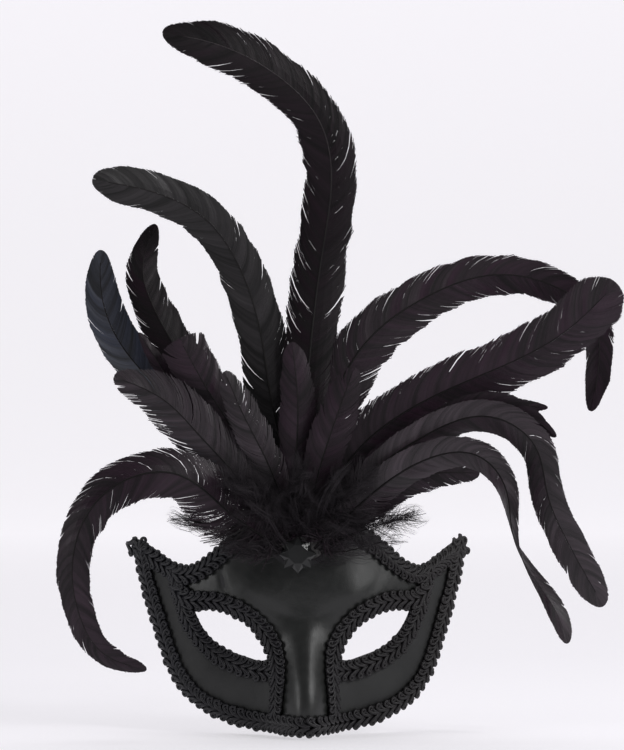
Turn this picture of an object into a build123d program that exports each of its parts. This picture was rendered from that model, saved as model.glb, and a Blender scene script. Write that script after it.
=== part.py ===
"""Venetian half mask with a feather plume, worn over the eyes and nose.

Millimetres. +Z is up, the front of the mask faces -Y, and X = 0 is its plane of symmetry.
The origin is on the lining at the bridge of the nose, where the mask rests on the wearer.
"""

from build123d import *
import math
import os

# Layers of the mask, outward from the wearer: depths are measured along the surface normal.
LINING = 0.6
SHELL = 1.6
COVER = 0.5
TRIM = 2.8
WALL = LINING + SHELL + COVER

# Driving shape of the mask's front surface.
WRAP_RADIUS = 78.0
TILT_RADIUS = 260.0
TILT_CENTRE_Z = 5.0
NOSE_RISE = 24.0
NOSE_TOP_Z = 18.0
NOSE_TIP_Z = -40.0
NOSE_HALF_WIDTH = 10.5
NOSE_FLARE = 4.5
NOSE_ROUNDNESS = 2.2
# Soft swellings and hollows, mirrored left and right: rise, centre x and z, spread in x and z.
BUMPS = (
    (2.5, 30, 24, 18, 11),
    (-3.0, 36, 0, 20, 13),
    (2.5, 48, -26, 22, 14),
)
# Stations of the surface: heights, and distances from the centre, closer together at the nose.
ROWS = (-58, -50, -43, -36, -29, -22, -15, -8, 0, 8, 16, 25, 35, 47, 61, 77)
COLUMNS = (0, 4, 8, 12, 16, 21, 28, 37, 48, 62, 80, 98)
REACH = 130.0
# Distance over which the surface's slope is taken.
SLOPE_STEP = 0.05

# Right half of the shell's outline seen from the front, (x, z), and of its eye hole.
TOP_LINE = ((0, 65), (19, 63), (36, 54.5), (48, 44), (60.5, 36.8), (74, 43.2), (87.5, 50.5))
SIDE_LINE = ((87.5, 50.5), (84, 29.6), (78.4, 10.5), (73.3, -6), (66.6, -22), (57.8, -32.5),
             (44.2, -40.8), (29, -45.4), (0, -47.1))
EYE_UPPER = ((17.5, -9), (20.5, 1.5), (28, 9.8), (37, 13.8), (46, 15.2), (56.6, 13.4))
EYE_LOWER = ((56.6, 13.4), (53, 6), (48.5, 0.2), (40, -5.8), (29, -9.6), (21, -11), (17.5, -9))

# Centre lines of the trims on the right side, (x, z).
TRIM_HALF_WIDTH = 5.6
TRIM_OVERHANG = 1.4
BROW_TRIM = ((64, 23.4), (57.5, 19.6), (48, 19.8), (37.5, 17.7), (27, 11.8), (19, 2.6), (14.8, -6),
             (13.2, -16), (13.4, -26), (14.2, -39.5))
CHEEK_TRIM = ((66.5, 33), (64, 23.4), (61.8, 15.6), (57.5, 6), (52, -2), (43.5, -9.2), (33, -14),
              (23, -16.4), (16, -16.6))

# Panels of covering: the centre panel runs over the forehead and nose, the cheek panels outside it.
NOSE_SEAM = (*BROW_TRIM, (14.6, -56))
CHEEK_BOUNDS = ((14.6, -56), (14.6, -60), (110, -60), (110, 70), (68, 70), (66.5, 33), (64, 23.4))

# Eyelets for the elastic, one each side, hidden in front by the edge trim.
EYELET_X = 73.5
EYELET_Z = 13.0
EYELET_BORE = 2.0
EYELET_TUBE = 2.6
EYELET_FLANGE = 4.4
EYELET_FLANGE_THICKNESS = 0.5
EYELET_GAP = 0.3
EYELET_SINK = 0.2

# Pad, glue and gem at the foot of the plume.
PLUME_X = -2.0
PAD_Z = 47.0
PAD_HALF_WIDTH = 15.0
PAD_HALF_HEIGHT = 9.0
PAD_THICKNESS = 1.6
GLUE_HALF_WIDTH = 11.5
GLUE_HALF_HEIGHT = 6.0
GLUE_Z = 48.0
GLUE_THICKNESS = 12.6
FOOT_Z = 46.0
GEM_X = -4.0
GEM_Z = 45.2
GEM_TIP = 9.8
GEM_VALLEY = 7.4
GEM_TABLE = 5.2
GEM_POINTS = 8
GEM_GIRDLE = 1.0
GEM_HEIGHT = 3.6
GEM_TILT = 3.0

# Feathers.
QUILL = 1.6
VANE = 0.9
STATIONS = 21
BARE_QUILL = 0.1
# The vane's edges meet the shaft this near its end.
TIP_STOP = 0.999
# The quills stand in three rows in the glue, each row this far forward.
BACK_ROW = -1.6
MIDDLE_ROW = -4.2
FRONT_ROW = -6.4


def bell(x, z, rise, x0, z0, spread_x, spread_z):
    """One smooth swelling of the surface and its mirror image."""
    across = math.exp(-((x - x0) / spread_x) ** 2) + math.exp(-((x + x0) / spread_x) ** 2)
    return rise * across * math.exp(-((z - z0) / spread_z) ** 2)


def nose(x, z):
    """How far the nose stands out of the face at (x, z)."""
    along = min(1.0, max(0.0, (NOSE_TOP_Z - z) / (NOSE_TOP_Z - NOSE_TIP_Z)))
    grown = along * along * (3 - 2 * along)
    width = NOSE_HALF_WIDTH + NOSE_FLARE * grown
    return NOSE_RISE * grown * math.exp(-(abs(x) / width) ** NOSE_ROUNDNESS)


def depth(x, z):
    """Y of the mask's front surface before it is moved to the origin."""
    face = x * x / (2 * WRAP_RADIUS) + (z - TILT_CENTRE_Z) ** 2 / (2 * TILT_RADIUS)
    return face - nose(x, z) - sum(bell(x, z, *bump) for bump in BUMPS)


def normal(x, z):
    """Unit normal of the front surface, pointing out of the front."""
    slope_x = (depth(x + SLOPE_STEP, z) - depth(x - SLOPE_STEP, z)) / (2 * SLOPE_STEP)
    slope_z = (depth(x, z + SLOPE_STEP) - depth(x, z - SLOPE_STEP)) / (2 * SLOPE_STEP)
    size = math.sqrt(slope_x ** 2 + slope_z ** 2 + 1)
    return slope_x / size, -1 / size, slope_z / size


FRONT_AT_BRIDGE = -WALL / abs(normal(0, 0)[1]) - depth(0, 0)


def on_surface(x, z, out=0.0):
    """The point over (x, z), a distance out from the front surface along its normal."""
    nx, ny, nz = normal(x, z)
    return Vector(x + out * nx, depth(x, z) + FRONT_AT_BRIDGE + out * ny, z + out * nz)


def behind(out):
    """Everything behind the front surface moved out by a distance."""
    across = [-x for x in COLUMNS[:0:-1]] + list(COLUMNS)
    share = [(x - across[0]) / (across[-1] - across[0]) for x in across]
    ribs = []
    for z in ROWS:
        rib = Edge.make_spline([on_surface(x, z, out) for x in across], parameters=share)
        ribs.append(Wire([rib]))
    skin = Shell.make_loft(ribs).faces()[0]
    return Solid.extrude(skin, Vector(0, REACH, 0))


def upright(wire_edges):
    """A prism along Y through the mask, of a closed outline drawn in the XZ plane."""
    face = Face(Wire(wire_edges))
    return Solid.extrude(face.moved(Location((0, -REACH, 0))), Vector(0, 2 * REACH, 0))


def flat(points):
    """Points (x, z) as vectors in the XZ plane."""
    return [Vector(x, 0, z) for x, z in points]


def mirrored(points):
    return [(-x, z) for x, z in points]


# The whole outline: along the brow from horn to horn, and down one side and up the other.
TOP_EDGE = [*mirrored(TOP_LINE)[::-1], *TOP_LINE[1:]]
SIDE_EDGE = [*SIDE_LINE, *mirrored(SIDE_LINE)[::-1][1:]]


def outline():
    """The shell's outline as a prism."""
    return upright([Spline(*flat(TOP_EDGE)), Spline(*flat(SIDE_EDGE))])


def eye_hole(side):
    upper = [(side * x, z) for x, z in EYE_UPPER]
    lower = [(side * x, z) for x, z in EYE_LOWER]
    return upright([Spline(*flat(upper)), Spline(*flat(lower))])


def strip(points, half_width):
    """A prism of constant width that follows a line of points."""
    line = Spline(*flat(points))
    count = 6 * len(points)
    left, right = [], []
    for i in range(count + 1):
        at, along = line @ (i / count), line % (i / count)
        across = Vector(-along.Z, 0, along.X) * half_width
        left.append(at + across)
        right.append(at - across)
    edges = [Spline(*left), Line(left[-1], right[-1]), Spline(*right[::-1]), Line(right[0], left[0])]
    return upright(edges)


def inset(points, distance):
    """A line of points moved sideways, to the right of its direction."""
    line = Spline(*flat(points))
    count = 2 * len(points)
    moved = []
    for i in range(count + 1):
        at, along = line @ (i / count), line % (i / count)
        across = Vector(along.Z, 0, -along.X).normalized() * distance
        moved.append(((at + across).X, (at + across).Z))
    return moved


def one(shape):
    """The largest solid of a boolean's result."""
    return max(shape.solids(), key=lambda s: s.volume)


def shared(first, second):
    """The space that two solids share."""
    return one(first.intersect(second))


def cut(solid, *tools):
    """A solid with others taken away, one at a time."""
    for tool in tools:
        solid = one(solid - tool)
    return solid


def eyelet_place(side):
    """Location on the front surface at an eyelet, its Z axis pointing out of the back."""
    nx, ny, nz = normal(side * EYELET_X, EYELET_Z)
    return Location(Plane(on_surface(side * EYELET_X, EYELET_Z), z_dir=Vector(-nx, -ny, -nz)))


def eyelet(side):
    """A tube through the wall with a flange on the wearer's side."""
    length = WALL + EYELET_GAP + EYELET_FLANGE_THICKNESS
    tube = Solid.make_cylinder(EYELET_TUBE, length - EYELET_SINK).moved(Location((0, 0, EYELET_SINK)))
    flange = Solid.make_cylinder(EYELET_FLANGE, EYELET_FLANGE_THICKNESS)
    flange = flange.moved(Location((0, 0, length - EYELET_FLANGE_THICKNESS)))
    bore = Solid.make_cylinder(EYELET_BORE, 3 * length).moved(Location((0, 0, -length)))
    return one((tube + flange - bore).moved(eyelet_place(side)))


def eyelet_hole(side):
    hole = Solid.make_cylinder(EYELET_TUBE, 4 * WALL).moved(Location((0, 0, -1.5 * WALL)))
    return hole.moved(eyelet_place(side))


def glue_face():
    """Y of the flat front of the glue."""
    return on_surface(PLUME_X, GLUE_Z).Y - PAD_THICKNESS - GLUE_THICKNESS


def gem():
    """Flat-backed star stone: an octagonal table, three facets to each point, and a low girdle."""
    step = 2 * math.pi / GEM_POINTS

    def ring(radius, height, turn):
        angles = [step * (k + turn) for k in range(GEM_POINTS)]
        return [Vector(radius * math.sin(a), radius * math.cos(a), height) for a in angles]

    tips = ring(GEM_TIP, GEM_GIRDLE, 0)
    valleys = ring(GEM_VALLEY, GEM_GIRDLE, 0.5)
    table = ring(GEM_TABLE, GEM_HEIGHT, 0.5)
    faces = [Face(Wire(Polyline(*table, close=True).edges()))]
    rim = []
    for k in range(GEM_POINTS):
        before = k - 1
        for corners in ((tips[k], valleys[k], table[k]), (tips[k], table[k], table[before]),
                        (tips[k], table[before], valleys[before])):
            faces.append(Face(Wire(Polyline(*corners, close=True).edges())))
        rim += [tips[k], valleys[k]]
    foot = [Vector(p.X, p.Y, 0) for p in rim]
    for k in range(len(rim)):
        corners = (rim[k - 1], rim[k], foot[k], foot[k - 1])
        faces.append(Face(Wire(Polyline(*corners, close=True).edges())))
    faces.append(Face(Wire(Polyline(*foot, close=True).edges())))
    stone = Solid(Shell(faces))
    seat_y = glue_face() - GEM_TIP * math.sin(math.radians(GEM_TILT))
    seat = Plane((GEM_X, seat_y, GEM_Z), x_dir=(1, 0, 0), z_dir=(0, -1, math.sin(math.radians(GEM_TILT))))
    return stone.moved(Location(seat))


def oval(x, z, half_width, half_height):
    """A prism along Y of an oval outline."""
    plane = Plane((x, -REACH, z), x_dir=(1, 0, 0), z_dir=(0, -1, 0))
    ellipse = Face(Wire(Edge.make_ellipse(half_width, half_height, plane)))
    return Solid.extrude(ellipse, Vector(0, 2 * REACH, 0))


# Each feather: the place of its foot across the glue and the row it stands in, the shaft from there to
# the tip, the vane's full width, where along the shaft the vane has opened to full width, where it
# starts to close, the share of its width it loses on the way, and its turn about the shaft at the foot,
# the middle and the tip, in degrees.
FEATHERS = {
    "tall_plume": (-3, BACK_ROW, ((-1, -1, 83), (1, 3, 125), (5, 8, 167), (10, 12, 203),
        (14.5, 10, 238), (9.5, 4, 267), (-15, -6, 293.5), (-53, -18, 310), (-74, -24, 313)),
        28, 0.42, 0.86, 0.12, (0, 5, 10)),
    "broad_left_plume": (-6, BACK_ROW, ((-8, 4, 83), (-17, 9, 125), (-22, 13, 158), (-31.5, 13, 190),
        (-50, 7, 218), (-78, -4, 232.5), (-110, -14, 238.5)), 26, 0.3, 0.9, 0.22, (0, -8, -5)),
    "left_blade_feather": (-8.2, BACK_ROW, ((-28, 1, 91), (-47, 5, 122), (-66, 11, 151),
        (-79, 16, 175), (-84, 20, 194), (-77, 22, 217)), 22, 0.45, 0.62, 0, (0, 10, 12)),
    "left_square_feather": (-9, MIDDLE_ROW, ((-31, -6, 99), (-52, -6, 133), (-65, -6, 157)),
        22, 0.4, 0.97, 0, (0, 5, 0)),
    "blue_sheen_feather": (-12.6, BACK_ROW, ((-36, 6, 84), (-57, 14, 109), (-77, 24, 132),
        (-96, 32, 155), (-105.5, 34, 180), (-106, 32, 204)), 22, 0.62, 0.74, 0, (0, -10, -15)),
    "ragged_left_feather": (-11, MIDDLE_ROW, ((-34, -11, 84), (-55, -14, 107), (-73, -15, 125),
        (-99, -16, 137)), 27, 0.35, 0.62, 0, (0, -5, 0)),
    "left_spike_feather": (-10.4, BACK_ROW, ((-34, -2, 87), (-60, 0, 120), (-75, 2, 143),
        (-86, 4, 160)), 10, 0.4, 0.6, 0, (0, 10, 10)),
    "left_droop_feather": (-7.6, FRONT_ROW, ((-43, -19, 70), (-66, -25, 87), (-90, -28, 85.5),
        (-111, -27, 69), (-120, -23, 43), (-117, -17, 16), (-105, -12, -5), (-82, -10, -14)),
        25, 0.24, 0.8, 0.42, (0, 15, 25)),
    "right_arch_feather": (2.2, BACK_ROW, ((10, 5, 106), (33, 14, 155), (67, 22, 180), (102, 26, 191),
        (133, 27, 185.5), (153.5, 25, 170), (157, 21, 146), (152, 17, 119)),
        29, 0.22, 0.88, 0.5, (0, -5, 25)),
    "right_long_feather": (4.4, BACK_ROW, ((21, -6, 91), (52, -8, 119), (95, -10, 139.5),
        (133, -10, 159), (162, -8, 186)), 28, 0.4, 0.93, 0, (0, 8, 5)),
    "right_outer_droop": (1, MIDDLE_ROW, ((34, -17, 88), (63, -23, 108), (94, -26, 116.5),
        (117.5, -28, 101), (123.5, -27, 78), (134, -24, 53), (154, -18, 18.5)),
        17, 0.35, 0.92, 0, (0, 20, 0)),
    "right_inner_droop": (2.5, FRONT_ROW, ((34, -21, 77), (62, -29, 95), (86, -34, 97), (100, -36, 83),
        (105, -34, 57), (113.5, -32, 38), (128, -30, 16), (134, -28, 0)),
        18, 0.3, 0.85, 0.25, (0, 25, 172)),
    "right_spike_upper": (8.8, BACK_ROW, ((50, -1, 104), (86, 0, 121), (127, -1, 121)),
        11, 0.5, 0.6, 0, (0, -10, 0)),
    "right_spike_lower": (3.5, MIDDLE_ROW, ((36, -12, 92), (64, -16, 112), (100, -18, 124),
        (129, -20, 106)), 12, 0.4, 0.62, 0, (0, 10, 10)),
    "right_under_feather": (6, MIDDLE_ROW, ((33, -13, 69), (62, -16, 86), (90, -14, 87)),
        15, 0.45, 0.75, 0, (0, 0, 0)),
    "right_mid_feather": (6.6, BACK_ROW, ((32, 1, 99), (60, 3, 126), (79, 5, 138)),
        22, 0.45, 0.75, 0, (0, 0, 0)),
    "centre_left_filler": (-6.5, MIDDLE_ROW, ((-18, -12, 89), (-31, -16, 115), (-42, -17, 140)),
        18, 0.6, 0.66, 0, (0, 0, 0)),
    "centre_filler": (-4, MIDDLE_ROW, ((-5, -7.6, 89), (-4, -9, 125), (-7, -9, 155)),
        18, 0.6, 0.66, 0, (0, 0, 0)),
    "centre_right_filler": (-1.5, MIDDLE_ROW, ((7, -13, 89), (17, -16, 120), (25, -16, 142)),
        20, 0.6, 0.72, 0, (0, 0, 0)),
    "back_centre_feather": (0, BACK_ROW, ((5, 9, 104), (11, 15, 141), (17, 19, 172)),
        9, 0.5, 0.7, 0, (0, 0, 0)),
    "fluff_left_low": (-10.6, FRONT_ROW, ((-34, -9, 56), (-55, -13, 60), (-72, -12, 65)),
        20, 0.4, 0.6, 0, (0, 0, 0)),
    "fluff_right_low": (5, FRONT_ROW, ((25, -15, 56), (45, -19, 63), (64, -18, 67)),
        14, 0.4, 0.6, 0, (0, 0, 0)),
    "fluff_right_hang": (7.8, FRONT_ROW, ((24, -19, 48), (38, -25, 52), (54, -24, 52)),
        12, 0.4, 0.6, 0, (0, 0, 0)),
    "fluff_left_hang": (-12.6, FRONT_ROW, ((-22, -13, 46), (-34, -16, 47), (-44, -15, 48)),
        12, 0.4, 0.6, 0, (0, 0, 0)),
    "fluff_left_top": (-5.2, FRONT_ROW, ((-14, -8, 60), (-24, -19, 72), (-36, -27, 84),
        (-43, -29, 95)), 18, 0.66, 0.72, 0, (0, 0, 0)),
    "fluff_right_top": (0, FRONT_ROW, ((6, -8, 60), (16, -20, 72), (28, -28, 84), (38, -32, 94)),
        18, 0.66, 0.72, 0, (0, 0, 0)),
    "fluff_centre_top": (-3, FRONT_ROW, ((-4, -8.8, 64), (-4, -19, 80), (-2, -22, 100)),
        15, 0.66, 0.72, 0, (0, 0, 0)),
}

# A vane loses width from this share of the shaft on, over this much of it.
NARROWS_FROM = 0.35
NARROWS_OVER = 0.5


def vane_width(t, full, opened, closes, narrows):
    """Width of a feather at a share t of its length."""
    ease_in = min(1.0, max(0.0, (t - BARE_QUILL) / (opened - BARE_QUILL)))
    ease_in = ease_in * ease_in * (3 - 2 * ease_in)
    close = min(1.0, max(0.0, (t - closes) / (1 - closes)))
    ease_out = math.sqrt(max(0.0, 1 - close * close))
    slender = 1 - narrows * min(1.0, max(0.0, (t - NARROWS_FROM) / NARROWS_OVER))
    return max(QUILL, full * slender * ease_in * ease_out)


def turn_at(t, turns):
    """The vane's turn about its shaft, from its values at the foot, middle and tip."""
    foot, middle, tip = turns
    return foot + (middle - foot) * 2 * t if t < 0.5 else middle + (tip - middle) * (2 * t - 1)


def feather(foot_x, row_y, points, full, opened, closes, narrows, turns):
    """A thin closed blade along the shaft, as wide as the vane."""
    foot = Vector(foot_x, row_y, FOOT_Z)
    shaft = Spline(foot, *[Vector(*p) for p in points])
    sections = []
    for k in range(STATIONS):
        t = k / (STATIONS - 1)
        along = (shaft % t).normalized()
        across = along.cross(Vector(0, -1, 0)).normalized()
        across = across.rotate(Axis((0, 0, 0), along), turn_at(t, turns))
        thick = QUILL + (VANE - QUILL) * min(1.0, 2 * t)
        width = vane_width(TIP_STOP * t, full, opened, closes, narrows)
        plane = Plane(shaft @ t, x_dir=across, z_dir=along)
        sections.append(Face(Wire(Polyline(*[
            plane.from_local_coords(Vector(sx * width / 2, sy * thick / 2, 0))
            for sx, sy in ((-1, -1), (1, -1), (1, 1), (-1, 1))
        ], close=True).edges())))
    return Solid.make_loft([s.outer_wire() for s in sections], ruled=True)


def save(name, shape):
    export_step(shape, f"parts/{name}.step")
    print(name, round(shape.volume))


def build():
    os.makedirs("parts", exist_ok=True)
    whole = outline()
    eyes = eye_hole(1), eye_hole(-1)
    tie_holes = eyelet_hole(1), eyelet_hole(-1)
    front_of_trim, front, under_cover, under_shell, inside = (
        behind(d) for d in (TRIM, 0, -COVER, -COVER - SHELL, -WALL)
    )

    def layer(region, outer, inner, *holes):
        return cut(shared(region, outer), inner, *holes)

    openings = (*eyes, *tie_holes)
    save("mask_shell", layer(whole, under_cover, under_shell, *openings))
    save("felt_lining", layer(whole, under_shell, inside, *openings))

    closing = Polyline(*flat(CHEEK_BOUNDS)).edges()
    right_region = upright([Spline(*flat(NOSE_SEAM)), *closing])
    left_region = right_region.mirror(Plane.YZ)
    cover = layer(whole, front, under_cover, *openings)
    save("right_cheek_cover", shared(cover, right_region))
    save("left_cheek_cover", shared(cover, left_region))
    save("forehead_nose_cover", cut(cover, right_region, left_region))

    trim_in = TRIM_HALF_WIDTH - TRIM_OVERHANG
    edge_strip = strip(inset(SIDE_EDGE, trim_in), TRIM_HALF_WIDTH)
    top_strip = strip(inset(TOP_EDGE, trim_in), TRIM_HALF_WIDTH)
    bottom_trim = cut(shared(edge_strip, front_of_trim), front)
    top_trim = cut(shared(top_strip, front_of_trim), front, edge_strip)
    save("bottom_edge_trim", bottom_trim)
    save("top_edge_trim", top_trim)
    for side_name, sign in (("right", 1), ("left", -1)):
        brow = strip([(sign * x, z) for x, z in BROW_TRIM], TRIM_HALF_WIDTH)
        cheek = strip([(sign * x, z) for x, z in CHEEK_TRIM], TRIM_HALF_WIDTH)
        brow_trim = cut(shared(brow, front_of_trim), front, edge_strip, top_strip)
        cheek_trim = cut(shared(cheek, front_of_trim), front, brow, top_strip)
        save(f"{side_name}_brow_trim", brow_trim)
        save(f"{side_name}_cheek_trim", cheek_trim)
        save(f"{side_name}_eyelet", eyelet(sign))

    under_pad = oval(PLUME_X, PAD_Z, PAD_HALF_WIDTH, PAD_HALF_HEIGHT)
    over_pad = behind(PAD_THICKNESS)
    save("plume_pad", cut(shared(under_pad, over_pad), front, top_strip))
    feathers = {name: feather(*spec) for name, spec in FEATHERS.items()}
    slab = Solid.make_box(4 * REACH, REACH, 4 * REACH)
    slab = slab.moved(Location((-2 * REACH, glue_face(), -2 * REACH)))
    glue = shared(oval(PLUME_X, GLUE_Z, GLUE_HALF_WIDTH, GLUE_HALF_HEIGHT), slab)
    save("quill_glue", cut(glue, over_pad, top_trim, *feathers.values()))
    save("star_gem", gem())
    for name, blade in feathers.items():
        save(name, blade)


build()
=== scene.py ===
"""Venetian half mask with gimp trim, a faceted star and a plume of curled cock feathers.

Sizes in the tables are millimetres in the mask's own frame: +Z up, the front faces -Y, and the
bridge of the nose rests on the origin. Everything that is built from them is in metres.
"""

import math

import bpy
import numpy as np
from bpy.props import FloatProperty, FloatVectorProperty, IntProperty, PointerProperty
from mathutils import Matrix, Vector
from mathutils.geometry import delaunay_2d_cdt


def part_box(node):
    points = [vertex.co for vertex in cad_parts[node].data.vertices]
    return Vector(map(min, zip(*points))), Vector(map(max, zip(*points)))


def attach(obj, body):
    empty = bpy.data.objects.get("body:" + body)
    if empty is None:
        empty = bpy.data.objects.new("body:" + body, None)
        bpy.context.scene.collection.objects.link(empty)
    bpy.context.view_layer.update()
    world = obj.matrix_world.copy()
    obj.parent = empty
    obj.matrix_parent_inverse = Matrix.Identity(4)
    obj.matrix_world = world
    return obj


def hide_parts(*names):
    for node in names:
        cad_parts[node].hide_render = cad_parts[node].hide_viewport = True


bl_info = {
    "name": "Venetian Half Mask",
    "version": (1, 0, 0),
    "blender": (4, 5, 0),
    "location": "View3D > Sidebar > Mask",
    "description": "Covers, trims, star and feathers of a venetian half mask on its CAD frame",
    "category": "Object",
}

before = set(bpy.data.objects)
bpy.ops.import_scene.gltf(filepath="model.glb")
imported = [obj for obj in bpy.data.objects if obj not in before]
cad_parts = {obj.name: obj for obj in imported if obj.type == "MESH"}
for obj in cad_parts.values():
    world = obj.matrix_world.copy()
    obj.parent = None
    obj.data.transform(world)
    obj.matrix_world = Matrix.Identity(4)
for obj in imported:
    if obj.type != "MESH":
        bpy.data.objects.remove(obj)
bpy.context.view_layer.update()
ROOT = "root"
MM = 0.001

# The moulded front of the mask.
WRAP_RADIUS = 78.0
TILT_RADIUS = 260.0
TILT_CENTRE_Z = 5.0
NOSE_RISE = 24.0
NOSE_TOP_Z = 18.0
NOSE_TIP_Z = -40.0
NOSE_HALF_WIDTH = 10.5
NOSE_FLARE = 4.5
NOSE_ROUNDNESS = 2.2
BUMPS = ((2.5, 30, 24, 18, 11), (-3.0, 36, 0, 20, 13), (2.5, 48, -26, 22, 14))
WALL = 2.7
# Distance over which the surface's slope is taken, and how far a moved boundary looks ahead.
SLOPE_STEP = 0.05
LOOK_AHEAD = 0.5

# Right half of the outline, the eye hole and the trims' centre lines, seen from the front as (x, z).
TOP_LINE = ((0, 65), (19, 63), (36, 54.5), (48, 44), (60.5, 36.8), (74, 43.2), (87.5, 50.5))
SIDE_LINE = ((87.5, 50.5), (84, 29.6), (78.4, 10.5), (73.3, -6), (66.6, -22), (57.8, -32.5),
             (44.2, -40.8), (29, -45.4), (0, -47.1))
EYE_UPPER = ((17.5, -9), (20.5, 1.5), (28, 9.8), (37, 13.8), (46, 15.2), (56.6, 13.4))
EYE_LOWER = ((56.6, 13.4), (53, 6), (48.5, 0.2), (40, -5.8), (29, -9.6), (21, -11), (17.5, -9))
BROW_TRIM = ((64, 23.4), (57.5, 19.6), (48, 19.8), (37.5, 17.7), (27, 11.8), (19, 2.6), (14.8, -6),
             (13.2, -16), (13.4, -26), (14.2, -39.5))
CHEEK_TRIM = ((66.5, 33), (64, 23.4), (61.8, 15.6), (57.5, 6), (52, -2), (43.5, -9.2), (33, -14),
              (23, -16.4), (16, -16.6))
NOSE_SEAM = (*BROW_TRIM, (14.6, -56))
CHEEK_BOUNDS = ((14.6, -56), (14.6, -70), (120, -70), (120, 80), (68, 80), (66.5, 33))
TRIM_INSET = 4.2

# Soft creases pressed into the forehead panel: the line, its depth and its half width.
CREASES = (
    (((-34, 26), (-20, 18), (-8, 12), (2, 10), (12, 14), (22, 20)), 0.45, 2.6),
    (((-43, 38), (-42.5, 30), (-40, 23)), 0.6, 1.7),
    (((30, 22), (38, 28), (41, 36)), 0.3, 2.4),
)


def smooth_step(share):
    share = np.clip(share, 0.0, 1.0)
    return share * share * (3 - 2 * share)


def depth(x, z):
    """How far back the mask's front surface lies at (x, z), before it is brought to the origin."""
    face = x * x / (2 * WRAP_RADIUS) + (z - TILT_CENTRE_Z) ** 2 / (2 * TILT_RADIUS)
    grown = smooth_step((NOSE_TOP_Z - z) / (NOSE_TOP_Z - NOSE_TIP_Z))
    width = NOSE_HALF_WIDTH + NOSE_FLARE * grown
    face = face - NOSE_RISE * grown * np.exp(-(np.abs(x) / width) ** NOSE_ROUNDNESS)
    for rise, x0, z0, spread_x, spread_z in BUMPS:
        across = np.exp(-((x - x0) / spread_x) ** 2) + np.exp(-((x + x0) / spread_x) ** 2)
        face = face - rise * across * np.exp(-((z - z0) / spread_z) ** 2)
    return face


def normals(x, z):
    """Unit normals of the front surface at arrays of x and z, pointing forward."""
    slope_x = (depth(x + SLOPE_STEP, z) - depth(x - SLOPE_STEP, z)) / (2 * SLOPE_STEP)
    slope_z = (depth(x, z + SLOPE_STEP) - depth(x, z - SLOPE_STEP)) / (2 * SLOPE_STEP)
    out = np.stack([slope_x, -np.ones_like(slope_x), slope_z], axis=-1)
    return out / np.linalg.norm(out, axis=-1, keepdims=True)


ZERO = np.zeros(1)
FRONT_AT_BRIDGE = float(-WALL / abs(normals(ZERO, ZERO)[0, 1]) - depth(ZERO, ZERO)[0])


def on_mask(points, out=0.0):
    """Places (x, z) points on the front surface, a distance out along its normal."""
    points = np.asarray(points, float)
    x, z = points[:, 0], points[:, 1]
    flat = np.stack([x, depth(x, z) + FRONT_AT_BRIDGE, z], axis=-1)
    return flat + normals(x, z) * np.reshape(out, (-1, 1))


def smooth_line(points, count):
    """A natural cubic spline through the points, sampled evenly along its length."""
    points = np.asarray(points, float)
    steps = np.linalg.norm(np.diff(points, axis=0), axis=1)
    knots = np.concatenate([[0], np.cumsum(steps)])
    size = len(points)
    system = np.eye(size)
    target = np.zeros_like(points)
    for i in range(1, size - 1):
        system[i, i - 1:i + 2] = steps[i - 1], 2 * (steps[i - 1] + steps[i]), steps[i]
        after = (points[i + 1] - points[i]) / steps[i]
        before = (points[i] - points[i - 1]) / steps[i - 1]
        target[i] = 6 * (after - before)
    bend = np.linalg.solve(system, target)
    dense = np.linspace(0, knots[-1], 12 * count)
    span = np.clip(np.searchsorted(knots, dense, side="right") - 1, 0, size - 2)
    h = steps[span][:, None]
    a = (knots[span + 1] - dense)[:, None] / h
    b = 1 - a
    line = a * points[span] + b * points[span + 1]
    line = line + ((a ** 3 - a) * bend[span] + (b ** 3 - b) * bend[span + 1]) * h ** 2 / 6
    return evenly(line, count)


def evenly(line, count):
    """Points evenly spaced along a polyline."""
    along = np.concatenate([[0], np.cumsum(np.linalg.norm(np.diff(line, axis=0), axis=1))])
    places = np.linspace(0, along[-1], count)
    return np.stack([np.interp(places, along, line[:, k]) for k in range(line.shape[1])], axis=-1)


def mirrored(points, side=-1):
    """The same (x, z) points on the left side, or on the right one when the side is 1."""
    return [(side * x, z) for x, z in points]


# The whole outline: over the brow from horn to horn, and down one side and up the other.
TOP_EDGE = [*mirrored(TOP_LINE)[::-1], *TOP_LINE[1:]]
SIDE_EDGE = [*SIDE_LINE, *mirrored(SIDE_LINE)[::-1][1:]]


def unit(vectors):
    return vectors / np.maximum(np.linalg.norm(vectors, axis=-1, keepdims=True), 1e-12)


def inside(points, loop):
    """Which (x, z) points lie inside a closed loop."""
    x, z = points[:, 0], points[:, 1]
    hit = np.zeros(len(points), bool)
    for (x0, z0), (x1, z1) in zip(loop, np.roll(loop, -1, axis=0)):
        crosses = (z0 > z) != (z1 > z)
        if z1 != z0:
            hit ^= crosses & (x < x0 + (z - z0) * (x1 - x0) / (z1 - z0))
    return hit


# ---------------------------------------------------------------- node wiring


def opaque(colour):
    return (*colour, 1.0)


class Signal:
    """A node's output that Python's operators can work on."""

    def __init__(self, wiring, socket):
        self.wiring = wiring
        self.socket = socket

    def _with(self, operation, other, swapped=False):
        first, second = (other, self) if swapped else (self, other)
        return self.wiring.node("ShaderNodeMath", {"operation": operation}, {0: first, 1: second})

    def __add__(self, other):
        return self._with("ADD", other)

    __radd__ = __add__

    def __mul__(self, other):
        return self._with("MULTIPLY", other)

    __rmul__ = __mul__

    def __rsub__(self, other):
        return self._with("SUBTRACT", other, swapped=True)


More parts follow.
